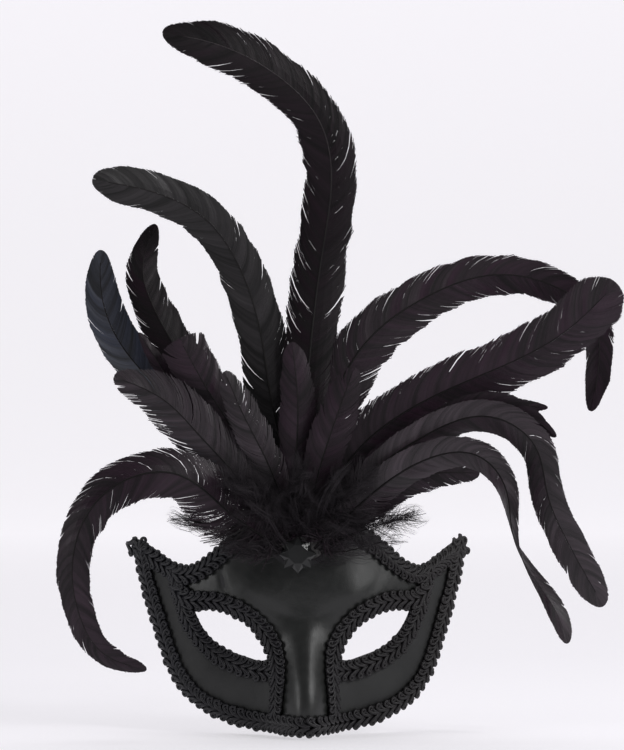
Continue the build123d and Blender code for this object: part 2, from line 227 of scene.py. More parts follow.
class Wiring:
    """A node tree that is being filled."""

    tree = None

    def node(self, kind, settings=None, inputs=None, output=0):
        """Adds a node, sets it up, feeds its sockets and hands back one output."""
        made = self.tree.nodes.new(kind)
        for key, value in (settings or {}).items():
            setattr(made, key, value)
        for key, value in (inputs or {}).items():
            self.feed(made.inputs[key], value)
        return Signal(self, made.outputs[output])

    def feed(self, socket, value):
        if isinstance(value, Signal):
            self.tree.links.new(value.socket, socket)
        else:
            socket.default_value = value

    def vector(self, operation, first, second=(0, 0, 0), scale=None):
        inputs = {0: first}
        if scale is None:
            inputs[1] = second
        else:
            inputs["Scale"] = scale
        return self.node("ShaderNodeVectorMath", {"operation": operation}, inputs)


class Finish(Wiring):
    """A material built round one Principled shader."""

    def __init__(self, name, **constants):
        self.material = bpy.data.materials.new(name)
        self.material.use_nodes = True
        self.tree = self.material.node_tree
        self.shader = self.tree.nodes["Principled BSDF"]
        self.place = self.node("ShaderNodeTexCoord", output="Object")
        for socket, value in constants.items():
            self.shader.inputs[socket.replace("_", " ")].default_value = value

    def paint(self, tone, gloss, **sockets):
        """Feeds the colour, the roughness and any other sockets, and hands back the material."""
        for socket, value in {"Base Color": tone, "Roughness": gloss, **sockets}.items():
            self.feed(self.shader.inputs[socket.replace("_", " ")], value)
        return self.material

    def grain(self, size_mm, detail=2.0, roughness=0.5):
        """Soft noise whose blotches are about this size."""
        inputs = {"Vector": self.place, "Scale": 1 / (size_mm * MM), "Detail": detail,
                  "Roughness": roughness}
        return self.node("ShaderNodeTexNoise", None, inputs)

    def cells(self, size_mm):
        return self.node("ShaderNodeTexVoronoi", None, {"Vector": self.place, "Scale": 1 / (size_mm * MM)})

    def between(self, share, low, high):
        """A number that runs from low to high as the share runs from 0 to 1."""
        return share * (high - low) + low

    def blend(self, share, first, second):
        """A colour that runs from the first to the second as the share runs from 0 to 1."""
        first, second = (tone if isinstance(tone, Signal) else opaque(tone) for tone in (first, second))
        return self.node("ShaderNodeMix", {"data_type": "RGBA"}, {0: share, 6: first, 7: second}, output=2)

    def sharpen(self, value, low, high):
        inputs = {"Value": value, "From Min": low, "From Max": high}
        return self.node("ShaderNodeMapRange", {"clamp": True}, inputs)

    def relief(self, height, depth_mm, under=None):
        inputs = {"Height": height, "Distance": depth_mm * MM, "Strength": 1.0}
        if under is not None:
            inputs["Normal"] = under
        return self.node("ShaderNodeBump", None, inputs)

    def mark(self, name):
        """A number that the mesh carries."""
        return self.node("ShaderNodeAttribute", {"attribute_name": name}, None, output="Fac")


class Recipe(Wiring):
    """A Geometry Nodes tree that grows repeated pieces on a mesh of marked points."""

    SOCKETS = {float: "NodeSocketFloat", int: "NodeSocketInt", "object": "NodeSocketObject",
               "material": "NodeSocketMaterial"}

    def __init__(self, name, inputs):
        self.tree = bpy.data.node_groups.new(name, "GeometryNodeTree")
        face = self.tree.interface
        face.new_socket("Points", in_out="INPUT", socket_type="NodeSocketGeometry")
        for label, kind in inputs.items():
            face.new_socket(label, in_out="INPUT", socket_type=self.SOCKETS[kind])
        face.new_socket("Mesh", in_out="OUTPUT", socket_type="NodeSocketGeometry")
        self.start = self.tree.nodes.new("NodeGroupInput")
        self.end = self.tree.nodes.new("NodeGroupOutput")

    def given(self, label):
        return Signal(self, self.start.outputs[label])

    def mark(self, name, kind="FLOAT_VECTOR"):
        return self.node("GeometryNodeInputNamedAttribute", {"data_type": kind}, {"Name": name})

    def store(self, geometry, name, value, kind="FLOAT"):
        inputs = {"Geometry": geometry, "Name": name, "Value": value}
        return self.node("GeometryNodeStoreNamedAttribute", {"data_type": kind}, inputs)

    def random(self, low, high):
        inputs = {"Min": low, "Max": high, "Seed": self.given("Seed")}
        return self.node("FunctionNodeRandomValue", {"data_type": "FLOAT"}, inputs, output=1)

    def close(self, geometry):
        """Realises the instances, gives them their material and ends the tree."""
        plain = self.node("GeometryNodeRealizeInstances", None, {"Geometry": geometry})
        inputs = {"Geometry": plain, "Material": self.given("Material")}
        self.feed(self.end.inputs["Mesh"], self.node("GeometryNodeSetMaterial", None, inputs))

    def grow(self, points, marks, values):
        """Runs the tree on points that carry marks, and returns the plain mesh."""
        bed = bpy.data.meshes.new("bed")
        bed.from_pydata([tuple(p) for p in points], [], [])
        for name, data in marks.items():
            data = np.asarray(data, np.float32)
            kind = "FLOAT_VECTOR" if data.ndim == 2 else "FLOAT"
            key = "vector" if data.ndim == 2 else "value"
            bed.attributes.new(name, kind, "POINT").data.foreach_set(key, data.ravel())
        holder = bpy.data.objects.new("bed", bed)
        bpy.context.scene.collection.objects.link(holder)
        growth = holder.modifiers.new("Growth", "NODES")
        growth.node_group = self.tree
        for item in self.tree.interface.items_tree:
            if item.in_out == "INPUT" and item.name in values:
                growth[item.identifier] = values[item.name]
        graph = bpy.context.evaluated_depsgraph_get()
        mesh = bpy.data.meshes.new_from_object(holder.evaluated_get(graph), depsgraph=graph)
        holder.modifiers.remove(growth)
        bpy.data.objects.remove(holder)
        bpy.data.meshes.remove(bed)
        return mesh


# ---------------------------------------------------------------- pieces


def show(name, mesh, node):
    """Puts a finished mesh in the scene as a piece of the mask that stands for a CAD node."""
    mesh.name = name
    piece = bpy.data.objects.new(name, mesh)
    bpy.context.scene.collection.objects.link(piece)
    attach(piece, ROOT)
    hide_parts(node)
    return piece


def sheet_mesh(name, points, faces, material, smooth=True):
    """A mesh from points in millimetres."""
    mesh = bpy.data.meshes.new(name)
    mesh.from_pydata([tuple(p) for p in np.asarray(points) * MM], [], [tuple(map(int, f)) for f in faces])
    mesh.materials.append(material)
    mesh.polygons.foreach_set("use_smooth", [smooth] * len(mesh.polygons))
    mesh.update()
    return mesh


def joined(name, meshes):
    """Several meshes as one, each keeping its materials."""
    parts = []
    for mesh in meshes:
        part = bpy.data.objects.new("part", mesh)
        bpy.context.scene.collection.objects.link(part)
        parts.append(part)
    with bpy.context.temp_override(active_object=parts[0], selected_editable_objects=parts, object=parts[0]):
        bpy.ops.object.join()
    whole = parts[0].data
    bpy.data.objects.remove(parts[0])
    whole.name = name
    return whole


def rod(centres, across, out, widths, thicknesses, sides):
    """Points and faces of a closed tube of changing oval section, along a line of centres."""
    turn = np.linspace(0, 2 * math.pi, sides, endpoint=False)
    ring = across[:, None] * (np.cos(turn)[None, :, None] * widths[:, None, None] / 2)
    ring = ring + out[:, None] * (np.sin(turn)[None, :, None] * thicknesses[:, None, None] / 2)
    points = (centres[:, None] + ring).reshape(-1, 3)
    count = len(centres)
    faces = []
    for i in range(count - 1):
        for k in range(sides):
            a, b = i * sides + k, i * sides + (k + 1) % sides
            faces.append((a, b, b + sides, a + sides))
    faces.append(tuple(range(sides))[::-1])
    faces.append(tuple(range((count - 1) * sides, count * sides)))
    return points, faces


# ---------------------------------------------------------------- feathers' tables

# The quills' feet stand in three rows in the glue, each row this far forward.
BACK_ROW = -1.6
MIDDLE_ROW = -4.2
FRONT_ROW = -6.4
FOOT_Z = 46.0

# Each feather: the place of its foot across the glue and its row, the shaft from there to the tip, the
# vane's full width, where along the shaft it has opened and where it starts to close, the share of its
# width it loses on the way, its turn about the shaft at the foot, middle and tip in degrees, its
# finish, how ragged it is and how many splits each side has.
FEATHERS = {
    "tall_plume": (-3, BACK_ROW, ((-1, -1, 83), (1, 3, 125), (5, 8, 167), (10, 12, 203),
        (14.5, 10, 238), (9.5, 4, 267), (-15, -6, 293.5), (-53, -18, 310), (-74, -24, 313)),
        28, 0.42, 0.86, 0.12, (0, 5, 10), "dark", 0.14, 5),
    "broad_left_plume": (-6, BACK_ROW, ((-8, 4, 83), (-17, 9, 125), (-22, 13, 158), (-31.5, 13, 190),
        (-50, 7, 218), (-78, -4, 232.5), (-110, -14, 238.5)),
        26, 0.3, 0.9, 0.22, (0, -8, -5), "green", 0.08, 2),
    "left_blade_feather": (-8.2, BACK_ROW, ((-28, 1, 91), (-47, 5, 122), (-66, 11, 151),
        (-79, 16, 175), (-84, 20, 194), (-77, 22, 217)),
        22, 0.45, 0.62, 0, (0, 10, 12), "dark", 0.1, 3),
    "left_square_feather": (-9, MIDDLE_ROW, ((-31, -6, 99), (-52, -6, 133), (-65, -6, 157)),
        22, 0.4, 0.97, 0, (0, 5, 0), "plain", 0.12, 2),
    "blue_sheen_feather": (-12.6, BACK_ROW, ((-36, 6, 84), (-57, 14, 109), (-77, 24, 132),
        (-96, 32, 155), (-105.5, 34, 180), (-106, 32, 204)),
        22, 0.62, 0.74, 0, (0, -10, -15), "blue", 0.03, 1),
    "ragged_left_feather": (-11, MIDDLE_ROW, ((-34, -11, 84), (-55, -14, 107), (-73, -15, 125),
        (-99, -16, 137)), 27, 0.35, 0.62, 0, (0, -5, 0), "thin", 0.2, 4),
    "left_spike_feather": (-10.4, BACK_ROW, ((-34, -2, 87), (-60, 0, 120), (-75, 2, 143),
        (-86, 4, 160)), 10, 0.4, 0.6, 0, (0, 10, 10), "plain", 0.2, 2),
    "left_droop_feather": (-7.6, FRONT_ROW, ((-43, -19, 70), (-66, -25, 87), (-90, -28, 85.5),
        (-111, -27, 69), (-120, -23, 43), (-117, -17, 16), (-105, -12, -5), (-82, -10, -14)),
        25, 0.24, 0.8, 0.42, (0, 15, 25), "plain", 0.12, 4),
    "right_arch_feather": (2.2, BACK_ROW, ((10, 5, 106), (33, 14, 155), (67, 22, 180), (102, 26, 191),
        (133, 27, 185.5), (153.5, 25, 170), (157, 21, 146), (152, 17, 119)),
        29, 0.22, 0.88, 0.5, (0, -5, 25), "plain", 0.12, 5),
    "right_long_feather": (4.4, BACK_ROW, ((21, -6, 91), (52, -8, 119), (95, -10, 139.5),
        (133, -10, 159), (162, -8, 186)), 28, 0.4, 0.93, 0, (0, 8, 5), "plain", 0.12, 5),
    "right_outer_droop": (1, MIDDLE_ROW, ((34, -17, 88), (63, -23, 108), (94, -26, 116.5),
        (117.5, -28, 101), (123.5, -27, 78), (134, -24, 53), (154, -18, 18.5)),
        17, 0.35, 0.92, 0, (0, 20, 0), "warm", 0.1, 3),
    "right_inner_droop": (2.5, FRONT_ROW, ((34, -21, 77), (62, -29, 95), (86, -34, 97), (100, -36, 83),
        (105, -34, 57), (113.5, -32, 38), (128, -30, 16), (134, -28, 0)),
        18, 0.3, 0.85, 0.25, (0, 25, 172), "warm", 0.1, 3),
    "right_spike_upper": (8.8, BACK_ROW, ((50, -1, 104), (86, 0, 121), (127, -1, 121)),
        11, 0.5, 0.6, 0, (0, -10, 0), "plain", 0.2, 3),
    "right_spike_lower": (3.5, MIDDLE_ROW, ((36, -12, 92), (64, -16, 112), (100, -18, 124),
        (129, -20, 106)), 12, 0.4, 0.62, 0, (0, 10, 10), "plain", 0.2, 3),
    "right_under_feather": (6, MIDDLE_ROW, ((33, -13, 69), (62, -16, 86), (90, -14, 87)),
        15, 0.45, 0.75, 0, (0, 0, 0), "plain", 0.22, 2),
    "right_mid_feather": (6.6, BACK_ROW, ((32, 1, 99), (60, 3, 126), (79, 5, 138)),
        22, 0.45, 0.75, 0, (0, 0, 0), "plain", 0.2, 3),
    "centre_left_filler": (-6.5, MIDDLE_ROW, ((-18, -12, 89), (-31, -16, 115), (-42, -17, 140)),
        18, 0.6, 0.66, 0, (0, 0, 0), "thin", 0.3, 4),
    "centre_filler": (-4, MIDDLE_ROW, ((-5, -7.6, 89), (-4, -9, 125), (-7, -9, 155)),
        18, 0.6, 0.66, 0, (0, 0, 0), "plain", 0.2, 3),
    "centre_right_filler": (-1.5, MIDDLE_ROW, ((7, -13, 89), (17, -16, 120), (25, -16, 142)),
        20, 0.6, 0.72, 0, (0, 0, 0), "plain", 0.2, 3),
    "back_centre_feather": (0, BACK_ROW, ((5, 9, 104), (11, 15, 141), (17, 19, 172)),
        9, 0.5, 0.7, 0, (0, 0, 0), "plain", 0.2, 2),
}
# Each fluff of down: its foot, its row, its shaft and its full width.
FLUFFS = {
    "fluff_left_low": (-10.6, FRONT_ROW, ((-34, -9, 56), (-55, -13, 60), (-72, -12, 65)), 20),
    "fluff_right_low": (5, FRONT_ROW, ((25, -15, 56), (45, -19, 63), (64, -18, 67)), 14),
    "fluff_right_hang": (7.8, FRONT_ROW, ((24, -19, 48), (38, -25, 52), (54, -24, 52)), 12),
    "fluff_left_hang": (-12.6, FRONT_ROW, ((-22, -13, 46), (-34, -16, 47), (-44, -15, 48)), 12),
    "fluff_left_top": (-5.2, FRONT_ROW, ((-14, -8, 60), (-24, -19, 72), (-36, -27, 84),
        (-43, -29, 95)), 18),
    "fluff_right_top": (0, FRONT_ROW, ((6, -8, 60), (16, -20, 72), (28, -28, 84), (38, -32, 94)), 18),
    "fluff_centre_top": (-3, FRONT_ROW, ((-4, -8.8, 64), (-4, -19, 80), (-2, -22, 100)), 15),
}

# The share of its strands that a sparse fluff keeps.
DOWN_SHARE = {"fluff_right_hang": 0.15, "fluff_right_low": 0.4, "fluff_left_hang": 0.45,
              "fluff_left_low": 0.6}

# The star on the brow.
STAR_X = -4.0
STAR_Z = 45.2
STAR_POINTS = 8
STAR_TIP = 9.8
STAR_VALLEY = 7.4
STAR_TABLE = 5.2
STAR_GIRDLE = 1.0
STAR_HEIGHT = 3.6
STAR_TILT = 3.0
# No down crosses the star: it keeps this far from the star's middle wherever it lies before this depth.
STAR_CLEAR = 10.4
STAR_CLEAR_Y = -9.0
# Down ends above this height, and higher by this share outside this distance from the plume's middle.
DOWN_FLOOR = 42.0
DOWN_FLOOR_RISE = 0.6
DOWN_FLOOR_HALF = 36.0
PLUME_X = -2.0


# ---------------------------------------------------------------- settings


class MaskSizes(bpy.types.PropertyGroup):
    """Sizes of the covers, the trims and the star."""

    cover_grid: FloatProperty(name="Cover Grid", description="Spacing of the points on the covers",
                              default=1.3 * MM, unit="LENGTH")
    cover_thickness: FloatProperty(name="Cover Thickness", description="Thickness of the leatherette",
                                   default=0.45 * MM, unit="LENGTH")
    trim_pitch: FloatProperty(name="Trim Pitch", description="Length of one scroll along a trim",
                              default=4.7 * MM, unit="LENGTH")
    trim_cord: FloatProperty(name="Trim Cord", description="Radius of the cord that makes the trims",
                             default=0.86 * MM, unit="LENGTH")
    trim_band: FloatProperty(name="Trim Band", description="Half width of the woven ground of the trims",
                             default=4.5 * MM, unit="LENGTH")
    star_bevel: FloatProperty(name="Star Bevel", description="Width of the polished edge between two facets",
                              default=0.09 * MM, unit="LENGTH")


class PlumeSizes(bpy.types.PropertyGroup):
    """Sizes of the feathers' barbs and down."""

    barb_pitch: FloatProperty(name="Barb Pitch", description="Spacing of the barbs along a shaft",
                              default=0.34 * MM, unit="LENGTH")
    barb_width: FloatProperty(name="Barb Width", description="Width of one barb at its root",
                              default=0.8 * MM, unit="LENGTH")
    barb_depth: FloatProperty(name="Barb Depth", description="Thickness of one barb",
                              default=0.16 * MM, unit="LENGTH")
    barb_steps: IntProperty(name="Barb Steps", description="Segments along a barb", default=4)
    down_count: IntProperty(name="Down Count", description="Strands in one fluff of down", default=1500)
    down_clumps: IntProperty(name="Down Clumps", description="Wisps that the strands of a fluff gather into",
                             default=85)
    down_width: FloatProperty(name="Down Width", description="Width of one strand of down",
                              default=0.17 * MM, unit="LENGTH")
    quill_width: FloatProperty(name="Quill Width", description="Width of a shaft at its foot",
                               default=1.5 * MM, unit="LENGTH")


class MaskColours(bpy.types.PropertyGroup):
    """Base colours of the finishes."""

    forehead: FloatVectorProperty(name="Forehead", description="Semi-gloss leatherette of the middle panel",
                                  default=(0.0122, 0.0130, 0.0122), subtype="COLOR")
    cheek: FloatVectorProperty(name="Cheek", description="Matt leatherette of the cheek panels",
                               default=(0.0145, 0.0150, 0.0148), subtype="COLOR")
    cord: FloatVectorProperty(name="Cord", description="Rayon cord of the trims",
                              default=(0.0050, 0.0045, 0.0055), subtype="COLOR")
    feather: FloatVectorProperty(name="Feather", description="Black of the plain feathers",
                                 default=(0.0118, 0.0058, 0.0100), subtype="COLOR")
    sheen_green: FloatVectorProperty(name="Green Sheen", description="Cast of the broad left plume",
                                     default=(0.0122, 0.0108, 0.0118), subtype="COLOR")
    sheen_blue: FloatVectorProperty(name="Blue Sheen", description="Cast of the blue-black feather",
                                    default=(0.0170, 0.0195, 0.0300), subtype="COLOR")


def dye(colour, scale):
    return tuple(part * scale for part in colour)


# ---------------------------------------------------------------- finishes


def leatherette(name, colour, gloss_low, gloss_high, grain_depth, shine):
    """Coated cloth with a fine pebbled grain and uneven handling marks."""
    finish = Finish(name, Specular_IOR_Level=shine)
    pebbles = finish.cells(0.55)
    creasing = finish.grain(0.9, detail=4)
    clouds = finish.grain(14, detail=3)
    rub = finish.sharpen(finish.grain(3.5, detail=5), 0.42, 0.66)
    height = pebbles * 0.6 + creasing * 0.7
    tone = finish.blend(clouds, dye(colour, 0.85), dye(colour, 1.2))
    tone = finish.blend(rub * 0.25, tone, dye(colour, 1.7))
    return finish.paint(tone, finish.between(clouds * 0.6 + rub * 0.4, gloss_low, gloss_high),
                        Normal=finish.relief(height, grain_depth, under=finish.relief(clouds, 0.35)))


def rayon_cord(colour):
    """Satin cord whose fine threads catch the light here and there, with painted light that makes it cooler
    and darker on the left and warmer and lighter on the right.
    """
    finish = Finish("rayon_cord", Specular_IOR_Level=0.34)
    threads = finish.node("ShaderNodeTexWave", {"bands_direction": "DIAGONAL"},
                          {"Vector": finish.place, "Scale": 900.0, "Distortion": 3.0, "Detail": 1.0})
    fuzz = finish.grain(0.25, detail=2)
    blotches = finish.grain(9, detail=2)
    # Painted light: across the mask the cord is painted cooler and darker on the left and warmer and lighter
    # on the right, where the stronger softbox stands.
    side = finish.node("ShaderNodeSeparateXYZ", None, {"Vector": finish.place}, output="X")
    warm = finish.sharpen(side, -0.07, 0.07)
    tone = finish.blend(warm, (0.0056, 0.0058, 0.0090), (0.0088, 0.0068, 0.0074))
    tone = finish.blend(blotches * 0.5, tone, dye(colour, 0.7))
    return finish.paint(tone, finish.between(fuzz, 0.28, 0.56),
                        Normal=finish.relief(threads * 0.5 + fuzz * 0.5, 0.06))


def felt_finish():
    """Needle felt: matted fibres with no gloss."""
    finish = Finish("black_felt", Specular_IOR_Level=0.2, Sheen_Weight=0.25, Sheen_Roughness=0.6)
    fibres = finish.grain(0.35, detail=6, roughness=0.75)
    mats = finish.grain(2.2, detail=3)
    tone = finish.blend(fibres, (0.010, 0.010, 0.011), (0.030, 0.029, 0.031))
    return finish.paint(tone, finish.between(fibres, 0.85, 1.0),
                        Normal=finish.relief(fibres + mats * 0.6, 0.25))


def shell_finish():
    """Moulded shell, dull black with flow marks."""
    finish = Finish("moulded_shell", Specular_IOR_Level=0.4)
    flow = finish.grain(4, detail=4)
    pits = finish.cells(0.4)
    tone = finish.blend(flow, (0.014, 0.014, 0.015), (0.024, 0.024, 0.026))
    return finish.paint(tone, finish.between(flow, 0.5, 0.72), Normal=finish.relief(pits, 0.04))


def glue_finish():
    """Dark hot-melt glue, lumpy and half glossy."""
    finish = Finish("dark_glue", Specular_IOR_Level=0.5)
    lumps = finish.grain(2.5, detail=3)
    tone = finish.blend(lumps, (0.014, 0.013, 0.012), (0.032, 0.029, 0.026))
    return finish.paint(tone, finish.between(lumps, 0.22, 0.45), Normal=finish.relief(lumps, 0.5))


def star_finish():
    """Polished black stone with a few hairline scratches."""
    finish = Finish("polished_star", Specular_IOR_Level=0.2, Coat_Roughness=0.02)
    scratches = finish.sharpen(finish.grain(0.8, detail=8, roughness=0.8), 0.60, 0.72)
    clouds = finish.grain(5)
    tone = finish.blend(clouds, (0.016, 0.0165, 0.0165), (0.024, 0.0245, 0.0245))
    return finish.paint(tone, finish.between(scratches, 0.05, 0.16),
                        Coat_Weight=finish.between(scratches, 0.1, 0.05))


def eyelet_finish():
    """Black lacquer over steel, worn bright on the rim."""
    finish = Finish("black_lacquer", Specular_IOR_Level=0.5)
    wear = finish.sharpen(finish.grain(0.7, detail=5), 0.58, 0.68)
    tone = finish.blend(wear, (0.012, 0.012, 0.013), (0.20, 0.19, 0.18))
    return finish.paint(tone, finish.between(wear, 0.28, 0.45), Metallic=finish.between(wear, 0.3, 1.0))


def barb_finish(name, colour, edge_light_colour, gloss=0.42, shine=0.26):
    """A feather's barbs: each has its own tone and gloss, with painted sheen streaks in the tone, and
    painted edge light lightens them towards their tips.
    """
    finish = Finish(name, Specular_IOR_Level=shine)
    tone = finish.mark("tone")
    reach = finish.mark("reach_share")
    patches = finish.grain(11, detail=3)
    # The tone's wide range carries painted sheen streaks as well as random tone.
    body = finish.blend(tone, dye(colour, 0.25), dye(colour, 2.8))
    body = finish.blend(patches * 0.6, body, dye(colour, 0.5))
    # Painted light: barb ends are painted lighter, standing in for light that shows through the thin edge of
    # the vane.
    body = finish.blend(finish.sharpen(reach, 0.5, 1.0) * 0.55 * tone, body, edge_light_colour)
    return finish.paint(body, finish.between(tone, gloss + 0.22, gloss - 0.08),
                        Normal=finish.relief(finish.grain(0.3, detail=2), 0.03))


def shaft_finish(name, dark, light):
    """Horn of a quill, with faint lengthwise streaks."""
    finish = Finish(name, Specular_IOR_Level=0.18)
    streaks = finish.grain(1.1, detail=5)
    run = finish.mark("run")
    paling = finish.sharpen(run, 0.5, 0.8) * finish.sharpen(streaks, 0.3, 0.6)
    tone = finish.blend(paling, dark, light)
    tone = finish.blend(streaks * 0.4, tone, dark)
    return finish.paint(tone, finish.between(streaks, 0.42, 0.65), Normal=finish.relief(streaks, 0.05))


def down_finish():
    """Soft black down."""
    finish = Finish("black_down", Specular_IOR_Level=0.2)
    tone = finish.mark("tone")
    clumps = finish.grain(6, detail=2)
    body = finish.blend(tone, (0.0160, 0.0132, 0.0160), (0.0360, 0.0310, 0.0350))
    body = finish.blend(clumps * 0.5, body, (0.0150, 0.0125, 0.0150))
    return finish.paint(body, finish.between(tone, 0.6, 0.85))


def backdrop_finish():
    """Plain pale paper that glows, with painted light that brightens its glow towards the far end."""
    finish = Finish("pale_paper", Specular_IOR_Level=0.1, Emission_Strength=0.49)
    tooth = finish.grain(1.5, detail=3)
    tone = finish.blend(tooth, (0.46, 0.45, 0.48), (0.50, 0.49, 0.52))
    glow = finish.blend(tooth, (0.955, 0.94, 0.965), (0.975, 0.96, 0.985))
    # Painted light: the paper's glow is painted stronger towards the back wall.
    back = finish.node("ShaderNodeSeparateXYZ", None, {"Vector": finish.place}, output="Y")
    glow = finish.blend(finish.sharpen(back, 0.5, 2.4), glow, (1.34, 1.318, 1.352))
    return finish.paint(tone, finish.between(tooth, 0.85, 0.95), Emission_Color=glow)


# ---------------------------------------------------------------- covers


def outline_loop(count):
    """The mask's outline, clockwise from the left horn tip over the brow."""
    return np.concatenate([smooth_line(TOP_EDGE, count)[:-1], smooth_line(SIDE_EDGE, count)[:-1]])


def eye_loop(side, count):
    upper, lower = (smooth_line(mirrored(line, side), count) for line in (EYE_UPPER, EYE_LOWER))
    return np.concatenate([upper[:-1], lower[:-1]])


def seam(side, count):
    return smooth_line(mirrored(NOSE_SEAM, side), count)


def groove(points):
    """Depth of the soft creases at (x, z) points."""
    sunk = np.zeros(len(points))
    for line, deep, half in CREASES:
        track = smooth_line(line, 60)
        gap = np.linalg.norm(points[:, None] - track[None], axis=-1)
        nearest = gap.min(axis=1)
        share = gap.argmin(axis=1) / (len(track) - 1)
        fade = np.sin(np.pi * np.clip(share, 0.02, 0.98)) ** 0.5
        sunk = np.maximum(sunk, deep * fade * np.exp(-(nearest / half) ** 2))
    return sunk


# The box that the covers' inner points fill, x and z, and how near a drawn line they may come.
FILL_X = (-92, 92)
FILL_Z = (-50, 70)
FILL_GAP = 0.45
# Each panel's CAD node and material slot.
PANELS = {
    "forehead_nose_panel": ("forehead_nose_cover", "glossy_leatherette"),
    "left_cheek_panel": ("left_cheek_cover", "matt_leatherette"),
    "right_cheek_panel": ("right_cheek_cover", "matt_leatherette"),
}


def cover_panels(grid):
    """Triangulates the mask seen from the front and sorts the triangles into its three panels."""
    outline = outline_loop(150)
    eyes = [eye_loop(side, 50) for side in (-1, 1)]
    seams = [seam(side, 90) for side in (-1, 1)]
    corners, edges = [], []
    for line, closed in ((outline, True), *((eye, True) for eye in eyes), *((cut, False) for cut in seams)):
        first = len(corners)
        keep = line if closed else line[inside(line, outline)]
        corners += [Vector(p) for p in keep]
        edges += [(first + i, first + i + 1) for i in range(len(keep) - 1)]
        if closed:
            edges.append((first + len(keep) - 1, first))
    lines = np.array([tuple(c) for c in corners])
    xs, zs = np.meshgrid(np.arange(*FILL_X, grid), np.arange(*FILL_Z, grid))
    xs[1::2] += grid / 2
    fill = np.stack([xs.ravel(), zs.ravel()], axis=-1)
    fill = fill[inside(fill, outline) & ~inside(fill, eyes[0]) & ~inside(fill, eyes[1])]
    gaps = np.array([np.linalg.norm(lines - p, axis=1).min() for p in fill])
    corners += [Vector(p) for p in fill[gaps > FILL_GAP * grid]]
    made = delaunay_2d_cdt(corners, edges, [], 0, 1e-5)
    points = np.array([tuple(v) for v in made[0]])
    faces = np.array([tuple(f) for f in made[2]])
    middle = points[faces].mean(axis=1)
    on = inside(middle, outline) & ~inside(middle, eyes[0]) & ~inside(middle, eyes[1])
    left, right = (
        inside(middle, np.concatenate([line, mirrored(CHEEK_BOUNDS, side)]))
        for side, line in zip((-1, 1), seams)
    )
    return points, faces, (on & ~left & ~right, on & left, on & right)


class MASQUE_OT_covers(bpy.types.Operator):
    """Lays the three leatherette panels over the moulded shell"""

    bl_idname = "masque.covers"
    bl_label = "Lay Covers"

    def execute(self, context):
        sizes, colours = context.scene.mask_sizes, context.scene.mask_colours
        glossy = leatherette("glossy_leatherette", colours.forehead, 0.30, 0.44, 0.045, 0.38)
        matt = leatherette("matt_leatherette", colours.cheek, 0.62, 0.80, 0.05, 0.45)
        points, faces, panels = cover_panels(sizes.cover_grid / MM)
        for (name, (node, slot)), chosen in zip(PANELS.items(), panels):
            used, tris = np.unique(faces[chosen], return_inverse=True)
            tris = tris.reshape(-1, 3)
            places = points[used]
            creased = slot == "glossy_leatherette"
            solid = on_mask(places, -groove(places) if creased else 0.0)
            a, b, c = (solid[tris[:, k]] for k in range(3))
            if np.cross(b - a, c - a)[:, 1].mean() > 0:
                tris = tris[:, ::-1]
            piece = show(name, sheet_mesh(name, solid, tris, glossy if creased else matt), node)
            skin = piece.modifiers.new("Thickness", "SOLIDIFY")
            skin.thickness = sizes.cover_thickness
            skin.offset = -1.0
        return {"FINISHED"}


# ---------------------------------------------------------------- trims

# One scroll of cord on one side of a trim, along, across and out from the cover: it leaves the
# middle, runs out and forward, and curls round into a bead at the edge. The second cord lies inside it.
SCROLL = ((-4.0, 0.2, 1.6), (-2.6, 0.65, 2.1), (-0.9, 1.35, 2.3), (0.65, 2.35, 2.15), (1.3, 3.5, 1.85),
          (0.75, 4.55, 1.5), (-0.35, 4.65, 1.35), (-1.0, 3.7, 1.4), (-0.5, 2.85, 1.5), (0.3, 3.1, 1.4))
INNER_CORD = ((-5.2, 0.3, 1.2), (-3.7, 0.75, 1.8), (-2.3, 1.5, 1.95), (-1.5, 2.6, 1.5), (-1.7, 3.6, 0.9),
              (-2.2, 4.3, 0.6))
CORD_SIDES = 7
CORD_WANDER = 0.25
# The flat woven band under the scrolls.
BAND_PITCH = 1.0
BAND_LIFT = 0.55
BAND_THICKNESS = 0.9


def scroll_template(name, points):
    """A hidden curve that the trims repeat."""
    curve = bpy.data.curves.new(name, "CURVE")
    curve.dimensions = "3D"
    line = smooth_line(points, 3 * len(points))
    spline = curve.splines.new("POLY")
    spline.points.add(len(line) - 1)
    for knot, place in zip(spline.points, line * MM):
        knot.co = (*place, 1)
    template = bpy.data.objects.new(name, curve)
    bpy.context.scene.collection.objects.link(template)
    return template


